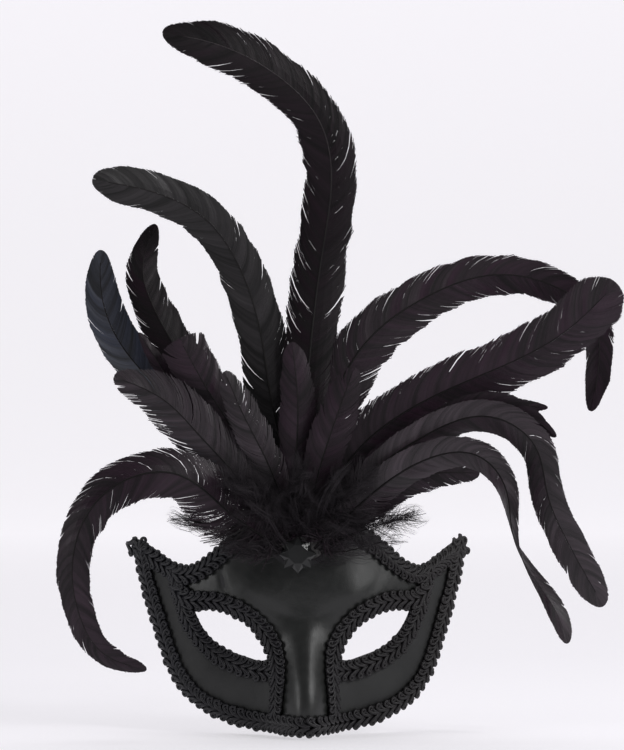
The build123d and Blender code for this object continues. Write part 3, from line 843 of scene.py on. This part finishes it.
def plait_recipe():
    """Repeats the scrolls on both sides of a trim's middle line, facing out from the mask."""
    recipe = Recipe("Plait", {"Scroll": "object", "Inner Cord": "object", "Cord Radius": float, "Sides": int,
                              "Wander": float, "Seed": int, "Material": "material"})
    turn = recipe.node("FunctionNodeAxesToRotation", {"primary_axis": "Z", "secondary_axis": "X"},
                       {"Primary Axis": recipe.mark("out"), "Secondary Axis": recipe.mark("along")})
    ring = recipe.node("GeometryNodeCurvePrimitiveCircle", None,
                       {"Resolution": recipe.given("Sides"), "Radius": recipe.given("Cord Radius")})
    wobble = recipe.random(-1.0, 1.0) * recipe.given("Wander")
    drift = recipe.vector("SCALE", recipe.mark("along"), scale=wobble)
    jittered = recipe.node("GeometryNodeSetPosition", None,
                           {"Geometry": recipe.given("Points"), "Offset": drift})
    size = recipe.random(0.94, 1.07)
    branches = []
    for label in ("Scroll", "Inner Cord"):
        template = {"Object": recipe.given(label)}
        found = recipe.node("GeometryNodeObjectInfo", None, template, output="Geometry")
        cord = recipe.node("GeometryNodeCurveToMesh", None,
                           {"Curve": found, "Profile Curve": ring, "Fill Caps": True})
        for side in (1, -1):
            scaled = recipe.node("ShaderNodeCombineXYZ", None, {"X": size, "Y": size * side, "Z": size})
            placed = recipe.node("GeometryNodeInstanceOnPoints", None,
                                 {"Points": jittered, "Instance": cord, "Rotation": turn, "Scale": scaled})
            plain = recipe.node("GeometryNodeRealizeInstances", None, {"Geometry": placed})
            if side < 0:
                plain = recipe.node("GeometryNodeFlipFaces", None, {"Mesh": plain})
            branches.append(plain)
    bundle = recipe.tree.nodes.new("GeometryNodeJoinGeometry")
    for branch in branches:
        recipe.feed(bundle.inputs[0], branch)
    whole = Signal(recipe, bundle.outputs[0])
    recipe.close(recipe.node("GeometryNodeSetShadeSmooth", None, {"Geometry": whole}))
    return recipe


def inset_line(points, distance, count):
    """A boundary moved in over the surface, to the right of its direction."""
    line = smooth_line(points, count)
    along = unit(np.gradient(line, axis=0))
    inward = np.stack([along[:, 1], -along[:, 0]], axis=-1)
    rise = (depth(*(line + inward * LOOK_AHEAD).T) - depth(*line.T)) / LOOK_AHEAD
    return line + inward * (distance / np.sqrt(1 + rise ** 2))[:, None]


def trim_frames(line, pitch, lift):
    """Evenly spaced places on the mask along a line, with the directions along and out."""
    dense = on_mask(smooth_line(line, 400) if len(line) < 40 else line, lift)
    length = np.linalg.norm(np.diff(dense, axis=0), axis=1).sum()
    places = evenly(dense, max(2, int(round(length / pitch)) + 1))
    along = unit(np.gradient(places, axis=0))
    out = normals(places[:, 0], places[:, 2])
    out = unit(out - along * (out * along).sum(axis=1, keepdims=True))
    return places, along, out


class MASQUE_OT_trims(bpy.types.Operator):
    """Plaits the gimp trims round the edge, the brows, the eyes and the nose"""

    bl_idname = "masque.trims"
    bl_label = "Plait Trims"

    def execute(self, context):
        sizes, colours = context.scene.mask_sizes, context.scene.mask_colours
        cord = rayon_cord(colours.cord)
        recipe = plait_recipe()
        scroll = scroll_template("scroll", SCROLL)
        inner = scroll_template("inner_cord", INNER_CORD)
        # Each trim's middle line, cut short at the horn tips, and its lift where trims cross.
        routes = {
            "bottom_edge": (inset_line(SIDE_EDGE, TRIM_INSET, 500)[6:-4], 0.25),
            "top_edge": (inset_line(TOP_EDGE, TRIM_INSET, 400)[3:-2], 0.1),
        }
        for place, line, lift in (("brow", BROW_TRIM, 0.5), ("cheek", CHEEK_TRIM, 0.0)):
            for word, side in (("right", 1), ("left", -1)):
                routes[f"{word}_{place}"] = (smooth_line(mirrored(line, side), 300), lift)
        for seed, (place, (line, lift)) in enumerate(routes.items()):
            places, along, out = trim_frames(line, sizes.trim_pitch / MM, lift)
            values = {"Scroll": scroll, "Inner Cord": inner, "Cord Radius": sizes.trim_cord,
                      "Sides": CORD_SIDES, "Wander": CORD_WANDER * MM, "Seed": seed + 3, "Material": cord}
            plait = recipe.grow(places * MM, {"along": along, "out": out}, values)
            fine, run, up = trim_frames(line, BAND_PITCH, lift + BAND_LIFT)
            width = np.full(len(fine), 2 * sizes.trim_band / MM)
            points, faces = rod(fine, np.cross(up, run), up, width, np.full(len(fine), BAND_THICKNESS), 8)
            ground = sheet_mesh("ground", points, faces, cord)
            name = place + "_gimp"
            show(name, joined(name, [plait, ground]), place + "_trim")
        for template in (scroll, inner):
            bpy.data.objects.remove(template)
        return {"FINISHED"}


# ---------------------------------------------------------------- star


class MASQUE_OT_star(bpy.types.Operator):
    """Cuts the faceted eight-pointed star"""

    bl_idname = "masque.star"
    bl_label = "Cut Star"

    def execute(self, context):
        low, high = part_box("star_gem")
        centre = (low + high) / 2 / MM
        turn = 2 * math.pi / STAR_POINTS
        rings = []
        for radius, height, half in ((STAR_TIP, 0, 0), (STAR_VALLEY, 0, 0.5), (STAR_TIP, STAR_GIRDLE, 0),
                                     (STAR_VALLEY, STAR_GIRDLE, 0.5), (STAR_TABLE, STAR_HEIGHT, 0.5)):
            angles = turn * (np.arange(STAR_POINTS) + half)
            rings.append(np.stack([radius * np.sin(angles), np.full(STAR_POINTS, -height),
                                   radius * np.cos(angles)], axis=-1))
        points = np.concatenate(rings)
        lean = math.radians(STAR_TILT)
        y, z = points[:, 1].copy(), points[:, 2].copy()
        points[:, 1] = y * math.cos(lean) + z * math.sin(lean)
        points[:, 2] = z * math.cos(lean) - y * math.sin(lean)
        points += np.array(centre) - (points.max(axis=0) + points.min(axis=0)) / 2
        n = STAR_POINTS
        foot_tip, foot_valley, tip, valley, table = (range(k * n, k * n + n) for k in range(5))
        faces = [tuple(table), tuple(p for k in range(n) for p in (foot_tip[k], foot_valley[k]))[::-1]]
        for k in range(n):
            faces += [(tip[k], valley[k], table[k]), (tip[k], table[k], table[k - 1]),
                      (tip[k], table[k - 1], valley[k - 1])]
            faces += [(foot_tip[k], foot_valley[k], valley[k], tip[k]),
                      (foot_valley[k - 1], foot_tip[k], tip[k], valley[k - 1])]
        mesh = sheet_mesh("faceted_star", points, faces, star_finish(), smooth=False)
        piece = show("faceted_star", mesh, "star_gem")
        edge = piece.modifiers.new("Polished Edge", "BEVEL")
        edge.width = context.scene.mask_sizes.star_bevel
        edge.segments = 2
        return {"FINISHED"}


# ---------------------------------------------------------------- feathers


# A vane starts this share of its width wide, and narrows from one share of the shaft on, over a stretch.
VANE_START = 0.12
NARROWS_FROM = 0.35
NARROWS_OVER = 0.5
# Barbs stand between these shares of the shaft, and are denser from the third one on.
BARBS_FROM = 0.045
BARBS_TO = 0.985
TIP_FROM = 0.86
# How far barbs lean forward at these shares of the shaft, and how far their ends cup back.
LEAN_SHARES = (0, 0.3, 0.8, 1)
LEANS = (0.9, 1.35, 1.6, 2.4)
CUP = 0.16
BARB_CROOK = 0.58
# A vane's foot is downy up to the first share, and its tip's barbs grow short from the other one on.
DOWNY_TO = 0.10
DOWNY_OVER = 0.14
SHORT_FROM = 0.89
SHORT_OVER = 0.09
# Splits lie between these shares, and push barbs apart by so much, fading over such a distance.
SPLIT_SHARES = (0.22, 0.92)
SPLIT_PUSH = (0.4, 1.5)
SPLIT_FADE = (2, 6)
# Millimetres of shaft to one ripple in a barb's length, in its tilt and in its tone, the tone's ripple
# painting streaks of sheen.
WORN_RIPPLE = 7
TILT_RIPPLE = 3
SHEEN_STREAK_RIPPLE = 1.6
MEAN_TILT = 0.14
MEAN_TONE = 0.42
# The shaft itself ends here, and has this many sides and rings.
SHAFT_END = 0.965
SHAFT_SIDES = 7
SHAFT_RINGS = 90


class Blade:
    """A feather's own coordinates: places along its shaft, and directions along, across and out."""

    def __init__(self, foot_x, row_y, points, full, opened, closes, narrows, turns):
        self.line = smooth_line([(foot_x, row_y, FOOT_Z), *points], 500)
        self.length = np.linalg.norm(np.diff(self.line, axis=0), axis=1).sum()
        self.along = unit(np.gradient(self.line, axis=0))
        across = unit(np.cross(self.along, (0, -1, 0)))
        share = np.linspace(0, 1, len(self.line))
        turn = np.radians(np.interp(share, (0, 0.5, 1), turns))[:, None]
        self.across = across * np.cos(turn) + np.cross(self.along, across) * np.sin(turn)
        self.out = np.cross(self.across, self.along)
        self.full, self.opened, self.closes, self.narrows = full, opened, closes, narrows

    def at(self, share, field):
        place = np.clip(share, 0, 1) * (len(self.line) - 1)
        low = np.minimum(place.astype(int), len(self.line) - 2)
        part = (place - low)[:, None]
        return field[low] * (1 - part) + field[low + 1] * part

    def half_width(self, share):
        grown = smooth_step(share / self.opened)
        close = np.clip((share - self.closes) / (1 - self.closes), 0, 1)
        slender = 1 - self.narrows * np.clip((share - NARROWS_FROM) / NARROWS_OVER, 0, 1)
        opening = VANE_START + (1 - VANE_START) * grown
        return self.full / 2 * opening * slender * np.sqrt(np.clip(1 - close * close, 0, 1))

    def place(self, share, aside, lift):
        """The point a share along the shaft, so far aside and lifted off the vane."""
        base = self.at(share, self.line)
        beyond = np.maximum(share - 1, 0)[:, None] * self.length
        base = base + self.at(share, self.along) * beyond
        base = base + self.at(share, self.across) * aside[:, None]
        return base + self.at(share, self.out) * lift[:, None]


def vane_recipe():
    """Grows one barb on every marked point and bends it along its own curve."""
    recipe = Recipe("Vane", {"Barb Width": float, "Barb Depth": float, "Steps": int, "Taper": float,
                             "Unevenness": float, "Seed": int, "Material": "material"})
    barb = recipe.node("GeometryNodeMeshCone", {"fill_type": "NGON"},
                       {"Vertices": 3, "Side Segments": recipe.given("Steps"), "Radius Top": 1.0,
                        "Radius Bottom": 1.0, "Depth": 1.0})
    spot = recipe.node("GeometryNodeInputPosition")
    kept = recipe.store(barb, "spot", spot, "FLOAT_VECTOR")
    spread = recipe.random(-1.0, 1.0) * recipe.given("Unevenness") + 1
    marked = recipe.store(recipe.given("Points"), "girth", spread)
    placed = recipe.node("GeometryNodeInstanceOnPoints", None, {"Points": marked, "Instance": kept})
    plain = recipe.node("GeometryNodeRealizeInstances", None, {"Geometry": placed})
    local = recipe.tree.nodes.new("ShaderNodeSeparateXYZ")
    recipe.feed(local.inputs[0], recipe.mark("spot"))
    x, y, s = (Signal(recipe, local.outputs[k]) for k in range(3))
    thin = 1 - (s * s) * recipe.given("Taper")
    girth = recipe.mark("girth", "FLOAT")
    wide = x * thin * girth * recipe.given("Barb Width") * 0.5
    deep = y * thin * girth * recipe.given("Barb Depth") * 0.5
    path = recipe.mark("root")
    for name, amount in (("reach", s), ("bend", s * s), ("side", wide), ("lift", deep)):
        path = recipe.vector("ADD", path, recipe.vector("SCALE", recipe.mark(name), scale=amount))
    bent = recipe.node("GeometryNodeSetPosition", None, {"Geometry": plain, "Position": path})
    shared = recipe.store(bent, "reach_share", s)
    for spent in ("spot", "root", "reach", "bend", "side", "lift", "girth"):
        shared = recipe.node("GeometryNodeRemoveAttribute", None, {"Geometry": shared, "Name": spent})
    recipe.close(shared)
    return recipe


def through(start, middle, end):
    """Reach and bend of the curves start + reach * s + bend * s * s that pass through three points each."""
    return 4 * middle - 3 * start - end, 2 * start + 2 * end - 4 * middle


def barb_marks(start, middle, end, face, tilt, tone):
    """The marks that bend barbs through three points each, with their flats facing a direction."""
    reach, bend = through(start, middle, end)
    course = unit(end - start)
    side = unit(np.cross(course, face))
    lift = np.cross(course, side)
    side = side * np.cos(tilt)[:, None] + lift * np.sin(tilt)[:, None]
    lift = np.cross(course, side)
    return {"root": start * MM, "reach": reach * MM, "bend": bend * MM, "side": side, "lift": lift,
            "tone": tone}


def ripple(share, waves, rng):
    """Smooth random values from -1 to 1 along a shaft, with about so many waves."""
    knots = max(4, int(waves))
    return np.interp(share, np.linspace(0, 1, knots), rng.uniform(-1, 1, knots))


def vane_marks(blade, pitch, ragged, splits, rng):
    """Start, middle and end of every barb on both sides of a feather's shaft."""
    batches = []
    for side in (-1, 1):
        even = int(blade.length / pitch)
        tip = np.linspace(TIP_FROM, BARBS_TO, even // 6)
        share = np.concatenate([np.arange(even) / even * BARBS_TO, tip])
        share = np.sort(share + rng.uniform(-0.3, 0.3, len(share)) / even)
        share = np.clip(share, BARBS_FROM, BARBS_TO)
        count = len(share)
        downy = 1 - smooth_step((share - DOWNY_TO) / DOWNY_OVER)
        lean = np.interp(share, LEAN_SHARES, LEANS)
        forward = blade.half_width(share) * lean / blade.length
        end_share = 1 - (1 - share) * np.exp(-forward / (1 - share))
        middle_share = share + (end_share - share) * 0.40
        for place in np.sort(rng.uniform(*SPLIT_SHARES, splits)):
            gap = share - place
            push = rng.uniform(*SPLIT_PUSH) / blade.length
            fade = np.exp(-np.abs(gap) * blade.length / rng.uniform(*SPLIT_FADE))
            end_share = end_share + np.sign(gap) * push * fade
        end_share = np.minimum(end_share, 0.997)
        reach = blade.half_width(end_share)
        wave = ripple(share, blade.length / WORN_RIPPLE, rng)
        worn = 1 + (0.03 + 0.35 * ragged) * wave + rng.normal(0, 0.01 + 0.12 * ragged, count)
        short = rng.uniform(0, 1, count) < ragged * 0.12
        worn = np.where(short, worn * rng.uniform(0.5, 0.9, count), worn)
        tip_fill = 1 - rng.uniform(0, 1, count) ** 1.5 * smooth_step((share - SHORT_FROM) / SHORT_OVER)
        end_share = 1 - (1 - end_share) * tip_fill ** 2
        reach = np.maximum(reach * np.clip(worn, 0.25, 1.2) * tip_fill, 0.1)
        end_share = share + (end_share - share) * (0.7 + 0.3 * np.clip(worn, 0.4, 1.1))
        fluffy = downy * rng.uniform(0.5, 1.5, count) * blade.full * 0.28
        cup = -CUP * reach + downy * rng.normal(0, 4.0, count) + rng.normal(0, 0.05, count)
        start = blade.place(share, side * np.full(count, 0.2), np.zeros(count))
        middle = blade.place(middle_share, side * (reach * BARB_CROOK + fluffy * 0.6), cup * 0.3)
        end = blade.place(end_share, side * (reach + fluffy), cup)
        scatter = downy[:, None] * rng.normal(0, 2.2, (count, 3))
        face = blade.at(share, blade.out)
        bundle = ripple(share, blade.length / TILT_RIPPLE, rng)
        twist = rng.normal(0, 0.04, count) + downy * rng.normal(0, 0.5, count)
        tilt = side * (MEAN_TILT + 0.12 * bundle + twist)
        # Painted sheen: ripples along the shaft, shared with the tilt's bundles, paint light and dark
        # streaks into the barbs' tone, over random variation.
        sheen_streak = ripple(share, blade.length / SHEEN_STREAK_RIPPLE, rng)
        tone = MEAN_TONE + 0.22 * wave + 0.26 * bundle + 0.28 * sheen_streak + rng.normal(0, 0.1, count)
        marks = barb_marks(start, middle + scatter * 0.6, end + scatter, face, tilt, np.clip(tone, 0, 1))
        batches.append(marks)
    return {key: np.concatenate([batch[key] for batch in batches]) for key in batches[0]}


def shaft_mesh(blade, quill, material):
    """The tapering horn shaft."""
    share = np.linspace(0, SHAFT_END, SHAFT_RINGS)
    centres = blade.place(share, np.zeros(SHAFT_RINGS), np.full(SHAFT_RINGS, 0.1))
    width = quill * (1 - 0.86 * share ** 0.7) + 0.12
    across, out = blade.at(share, blade.across), blade.at(share, blade.out)
    points, faces = rod(centres, across, out, width, width * 0.9, SHAFT_SIDES)
    mesh = sheet_mesh("shaft", points, faces, material)
    run = np.repeat(share, SHAFT_SIDES).astype(np.float32)
    mesh.attributes.new("run", "FLOAT", "POINT").data.foreach_set("value", run)
    return mesh


class MASQUE_OT_feathers(bpy.types.Operator):
    """Grows every cock feather from its shaft and barbs"""

    bl_idname = "masque.feathers"
    bl_label = "Grow Feathers"

    def execute(self, context):
        sizes, colours = context.scene.plume_sizes, context.scene.mask_colours
        # Each look's second colour is the painted edge light of its barb ends.
        looks = {
            "plain": barb_finish("black_barbs", colours.feather, (0.013, 0.0080, 0.0115)),
            "dark": barb_finish("deep_black_barbs", (0.0038, 0.0016, 0.0030),
                                (0.009, 0.0055, 0.0078), 0.42, 0.15),
            "warm": barb_finish("warm_black_barbs", (0.0185, 0.0125, 0.0165),
                                (0.034, 0.0240, 0.0305), 0.36, 0.4),
            "green": barb_finish("green_black_barbs", colours.sheen_green,
                                 (0.012, 0.0122, 0.0120), 0.44),
            "blue": barb_finish("blue_black_barbs", colours.sheen_blue,
                                (0.028, 0.034, 0.052), 0.34, 0.38),
            "thin": barb_finish("thin_grey_barbs", (0.0175, 0.0122, 0.0160),
                                (0.042, 0.0335, 0.0400), 0.42, 0.36),
        }
        dark_shaft = shaft_finish("dark_shaft", (0.0045, 0.0035, 0.0036), (0.010, 0.0075, 0.0078))
        light_shaft = shaft_finish("light_shaft", (0.0050, 0.0040, 0.0042), (0.055, 0.046, 0.050))
        recipe = vane_recipe()
        for seed, (name, spec) in enumerate(FEATHERS.items()):
            foot_x, row_y, points, full, opened, closes, narrows, turns, look, ragged, splits = spec
            rng = np.random.default_rng(100 + seed)
            blade = Blade(foot_x, row_y, points, full, opened, closes, narrows, turns)
            pitch = sizes.barb_pitch / MM * (1.2 if look == "thin" else 1.0)
            marks = vane_marks(blade, pitch, ragged, splits, rng)
            values = {"Barb Width": sizes.barb_width * (0.8 if look == "thin" else 1.0),
                      "Barb Depth": sizes.barb_depth, "Steps": sizes.barb_steps, "Taper": 0.4,
                      "Unevenness": 0.15, "Seed": seed, "Material": looks[look]}
            barbs = recipe.grow(marks["root"], marks, values)
            horn = light_shaft if name == "tall_plume" else dark_shaft
            shaft = shaft_mesh(blade, sizes.quill_width / MM, horn)
            piece_name = name + "_barbs"
            show(piece_name, joined(piece_name, [barbs, shaft]), name)
        return {"FINISHED"}


# A fluff's vane opens and closes at these shares, and its stem is this share of a quill's width.
FLUFF_OPENED = 0.35
FLUFF_CLOSES = 0.6
FLUFF_STEM = 0.7
# How much a wisp curls and sinks for its length, and how far strands stray at their start and end.
WISP_CURL = 0.16
WISP_DROP = 0.1
STRAY_START = 1.3
STRAY_MIDDLE = 0.7
STRAY_END = 0.45


def keeps_clear(start, middle, end):
    """Which strands end above the brow's covers and don't cross the star."""
    beyond = np.maximum(0, np.abs(end[:, 0] - PLUME_X) - DOWN_FLOOR_HALF)
    clear = end[:, 2] > DOWN_FLOOR + DOWN_FLOOR_RISE * beyond
    reach, bend = through(start, middle, end)
    for run in (0.15, 0.3, 0.5, 0.7, 0.85, 1):
        spot = start + reach * run + bend * run * run
        away = np.hypot(spot[:, 0] - STAR_X, spot[:, 2] - STAR_Z)
        clear &= (away > STAR_CLEAR) | (spot[:, 1] > STAR_CLEAR_Y)
    return clear


class MASQUE_OT_fluffs(bpy.types.Operator):
    """Grows the down round the foot of the plume"""

    bl_idname = "masque.fluffs"
    bl_label = "Grow Down"

    def execute(self, context):
        sizes = context.scene.plume_sizes
        down = down_finish()
        stem = shaft_finish("down_stem", (0.0045, 0.0035, 0.0036), (0.006, 0.0048, 0.0050))
        recipe = vane_recipe()
        for seed, (name, (foot_x, row_y, points, full)) in enumerate(FLUFFS.items()):
            rng = np.random.default_rng(300 + seed)
            blade = Blade(foot_x, row_y, points, full, FLUFF_OPENED, FLUFF_CLOSES, 0, (0, 0, 0))
            count, clumps = sizes.down_count, sizes.down_clumps
            clump = rng.integers(0, clumps, count)
            share = (rng.uniform(0.0, 0.85, clumps) ** 1.2)[clump]
            angle = rng.uniform(0, 2 * math.pi, clumps)[clump]
            splay = rng.uniform(0.05, 1.0, clumps)[clump]
            length = rng.uniform(0.55, 1.0, clumps)[clump] * rng.uniform(0.8, 1.0, count)
            length *= blade.length * (1.02 - share) * (1 - 0.6 * splay) + full * splay * 0.55
            ahead = blade.at(share, blade.along)
            spoke = np.cos(angle)[:, None] * blade.at(share, blade.across)
            spoke = spoke + (0.7 * np.sin(angle))[:, None] * blade.at(share, blade.out)
            course = unit(ahead * (1 - 0.55 * splay)[:, None] + spoke * splay[:, None])
            curl = rng.normal(0, WISP_CURL, (clumps, 3))[clump] * length[:, None]
            drop = np.array([0, 0, -WISP_DROP]) * length[:, None]
            start = blade.at(share, blade.line) + rng.normal(0, STRAY_START, (count, 3))
            middle = start + course * 0.5 * length[:, None] + curl
            middle = middle + rng.normal(0, STRAY_MIDDLE, (count, 3))
            end = start * 0.5 + blade.at(share, blade.line) * 0.5 + course * length[:, None]
            end = end + curl * 0.4 + drop + rng.normal(0, STRAY_END, (count, 3))
            tone = rng.uniform(0, 1, count)
            clear = keeps_clear(start, middle, end)
            clear &= rng.uniform(0, 1, count) < DOWN_SHARE.get(name, 1.0)
            tilt = rng.uniform(0, 3, count)
            marks = barb_marks(start, middle, end, blade.at(share, blade.out), tilt, tone)
            marks = {key: value[clear] for key, value in marks.items()}
            values = {"Barb Width": sizes.down_width, "Barb Depth": sizes.down_width, "Steps": 4,
                      "Taper": 0.6, "Unevenness": 0.4, "Seed": seed, "Material": down}
            strands = recipe.grow(marks["root"], marks, values)
            shaft = shaft_mesh(blade, sizes.quill_width / MM * FLUFF_STEM, stem)
            piece_name = name + "_down"
            show(piece_name, joined(piece_name, [strands, shaft]), name)
        return {"FINISHED"}


# ---------------------------------------------------------------- carried CAD nodes


class MASQUE_OT_frame_finish(bpy.types.Operator):
    """Gives the shell, the lining, the eyelets, the pad and the glue their finishes"""

    bl_idname = "masque.frame_finish"
    bl_label = "Finish Frame"

    def execute(self, context):
        felt = felt_finish()
        lacquer = eyelet_finish()
        finishes = {"mask_shell": shell_finish(), "felt_lining": felt, "plume_pad": felt,
                    "quill_glue": glue_finish(), "left_eyelet": lacquer, "right_eyelet": lacquer}
        for node, material in finishes.items():
            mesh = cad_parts[node].data
            mesh.materials.clear()
            mesh.materials.append(material)
        return {"FINISHED"}


# ---------------------------------------------------------------- stage

# The sweep: a floor that bends up into a wall well behind the mask.
SWEEP_FRONT = -5.0
SWEEP_BACK = 2.3
SWEEP_BEND = 0.7
SWEEP_HALF = 7.0
SWEEP_TOP = 7.5
FLOOR_GAP = 1.5 * MM

WORLD_COLOUR = (0.93, 0.92, 0.97, 1)
WORLD_STRENGTH = 0.22
# Each light: where it stands, what it points at, its size and its power.
LIGHTS = {
    "right_softbox": ((1.12, -0.65, 0.57), (0, 0, 0.05), (0.85, 0.6), 8),
    "left_softbox": ((-1.27, -0.51, 0.34), (0, 0, 0.05), (0.35, 0.7), 4.4),
    "sparkle": ((0.736, -0.634, 0.761), (0, 0, 0.05), (0.15, 0.15), 2.2),
    "overhead": ((0.0, 0.3, 1.5), (0, 0.1, 0.1), (1.4, 0.7), 7),
}

CAMERA_AZIMUTH = math.radians(-3)
CAMERA_DISTANCE = 1.8
CAMERA_ASIDE = 0.0039
CAMERA_HEIGHT = 0.138
PICTURE_HEIGHT = 0.390
SENSOR = 36.0


def softbox(name, place, aim, size, power):
    """A rectangular studio light that points at a place."""
    lamp = bpy.data.lights.new(name, "AREA")
    lamp.shape = "RECTANGLE"
    lamp.size, lamp.size_y = size
    lamp.energy = power
    light = bpy.data.objects.new(name, lamp)
    bpy.context.scene.collection.objects.link(light)
    light.location = place
    light.rotation_euler = (Vector(aim) - Vector(place)).to_track_quat("-Z", "Y").to_euler()


class MASQUE_OT_stage(bpy.types.Operator):
    """Sets the pale sweep, the studio lights and the camera"""

    bl_idname = "masque.stage"
    bl_label = "Set Stage"

    def execute(self, context):
        scene = context.scene
        floor_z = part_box("bottom_edge_trim")[0].z - FLOOR_GAP
        turn = np.linspace(0, math.pi / 2, 16)
        bend_y, bend_z = SWEEP_BACK + SWEEP_BEND * np.sin(turn), floor_z + SWEEP_BEND * (1 - np.cos(turn))
        profile = [(SWEEP_FRONT, floor_z), *zip(bend_y, bend_z), (SWEEP_BACK + SWEEP_BEND, SWEEP_TOP)]
        points = [(x, y, z) for y, z in profile for x in (-SWEEP_HALF, SWEEP_HALF)]
        faces = [(2 * i, 2 * i + 1, 2 * i + 3, 2 * i + 2) for i in range(len(profile) - 1)]
        mesh = sheet_mesh("sweep", np.array(points) / MM, faces, backdrop_finish())
        sweep = bpy.data.objects.new("sweep", mesh)
        scene.collection.objects.link(sweep)

        world = bpy.data.worlds.new("studio")
        world.use_nodes = True
        world.node_tree.nodes["Background"].inputs["Color"].default_value = WORLD_COLOUR
        world.node_tree.nodes["Background"].inputs["Strength"].default_value = WORLD_STRENGTH
        scene.world = world
        for name, light in LIGHTS.items():
            softbox(name, *light)

        lens = bpy.data.cameras.new("camera")
        lens.sensor_width = SENSOR
        lens.lens = SENSOR * CAMERA_DISTANCE / PICTURE_HEIGHT
        lens.clip_start, lens.clip_end = 0.05, 20
        camera = bpy.data.objects.new("camera", lens)
        scene.collection.objects.link(camera)
        right = Vector((math.cos(CAMERA_AZIMUTH), math.sin(CAMERA_AZIMUTH), 0))
        ahead = Vector((-math.sin(CAMERA_AZIMUTH), math.cos(CAMERA_AZIMUTH), 0))
        camera.location = right * CAMERA_ASIDE + Vector((0, 0, CAMERA_HEIGHT)) - ahead * CAMERA_DISTANCE
        camera.rotation_euler = ahead.to_track_quat("-Z", "Y").to_euler()
        scene.camera = camera
        scene.view_settings.view_transform = "Standard"
        return {"FINISHED"}


# ---------------------------------------------------------------- add-on


class MASQUE_PT_panel(bpy.types.Panel):
    """The mask's steps and sizes in the sidebar"""

    bl_idname = "MASQUE_PT_panel"
    bl_label = "Venetian Half Mask"
    bl_space_type = "VIEW_3D"
    bl_region_type = "UI"
    bl_category = "Mask"

    def draw(self, context):
        column = self.layout.column()
        for step in STEPS:
            column.operator(step.bl_idname)
        for group in GROUPS:
            settings = getattr(context.scene, group)
            for key in settings.bl_rna.properties.keys():
                if key not in ("rna_type", "name"):
                    column.prop(settings, key)


STEPS = (MASQUE_OT_stage, MASQUE_OT_frame_finish, MASQUE_OT_covers, MASQUE_OT_trims, MASQUE_OT_star,
         MASQUE_OT_feathers, MASQUE_OT_fluffs)
GROUPS = {"mask_sizes": MaskSizes, "plume_sizes": PlumeSizes, "mask_colours": MaskColours}

CLASSES = (*GROUPS.values(), *STEPS, MASQUE_PT_panel)


def register():
    for kind in CLASSES:
        bpy.utils.register_class(kind)
    for name, kind in GROUPS.items():
        setattr(bpy.types.Scene, name, PointerProperty(type=kind))


def unregister():
    for name in GROUPS:
        delattr(bpy.types.Scene, name)
    for kind in reversed(CLASSES):
        bpy.utils.unregister_class(kind)


def main():
    """Makes the whole mask, one step after another."""
    register()
    bpy.ops.masque.stage()
    bpy.ops.masque.frame_finish()
    bpy.ops.masque.covers()
    bpy.ops.masque.trims()
    bpy.ops.masque.star()
    bpy.ops.masque.feathers()
    bpy.ops.masque.fluffs()


if __name__ == "__main__":
    main()
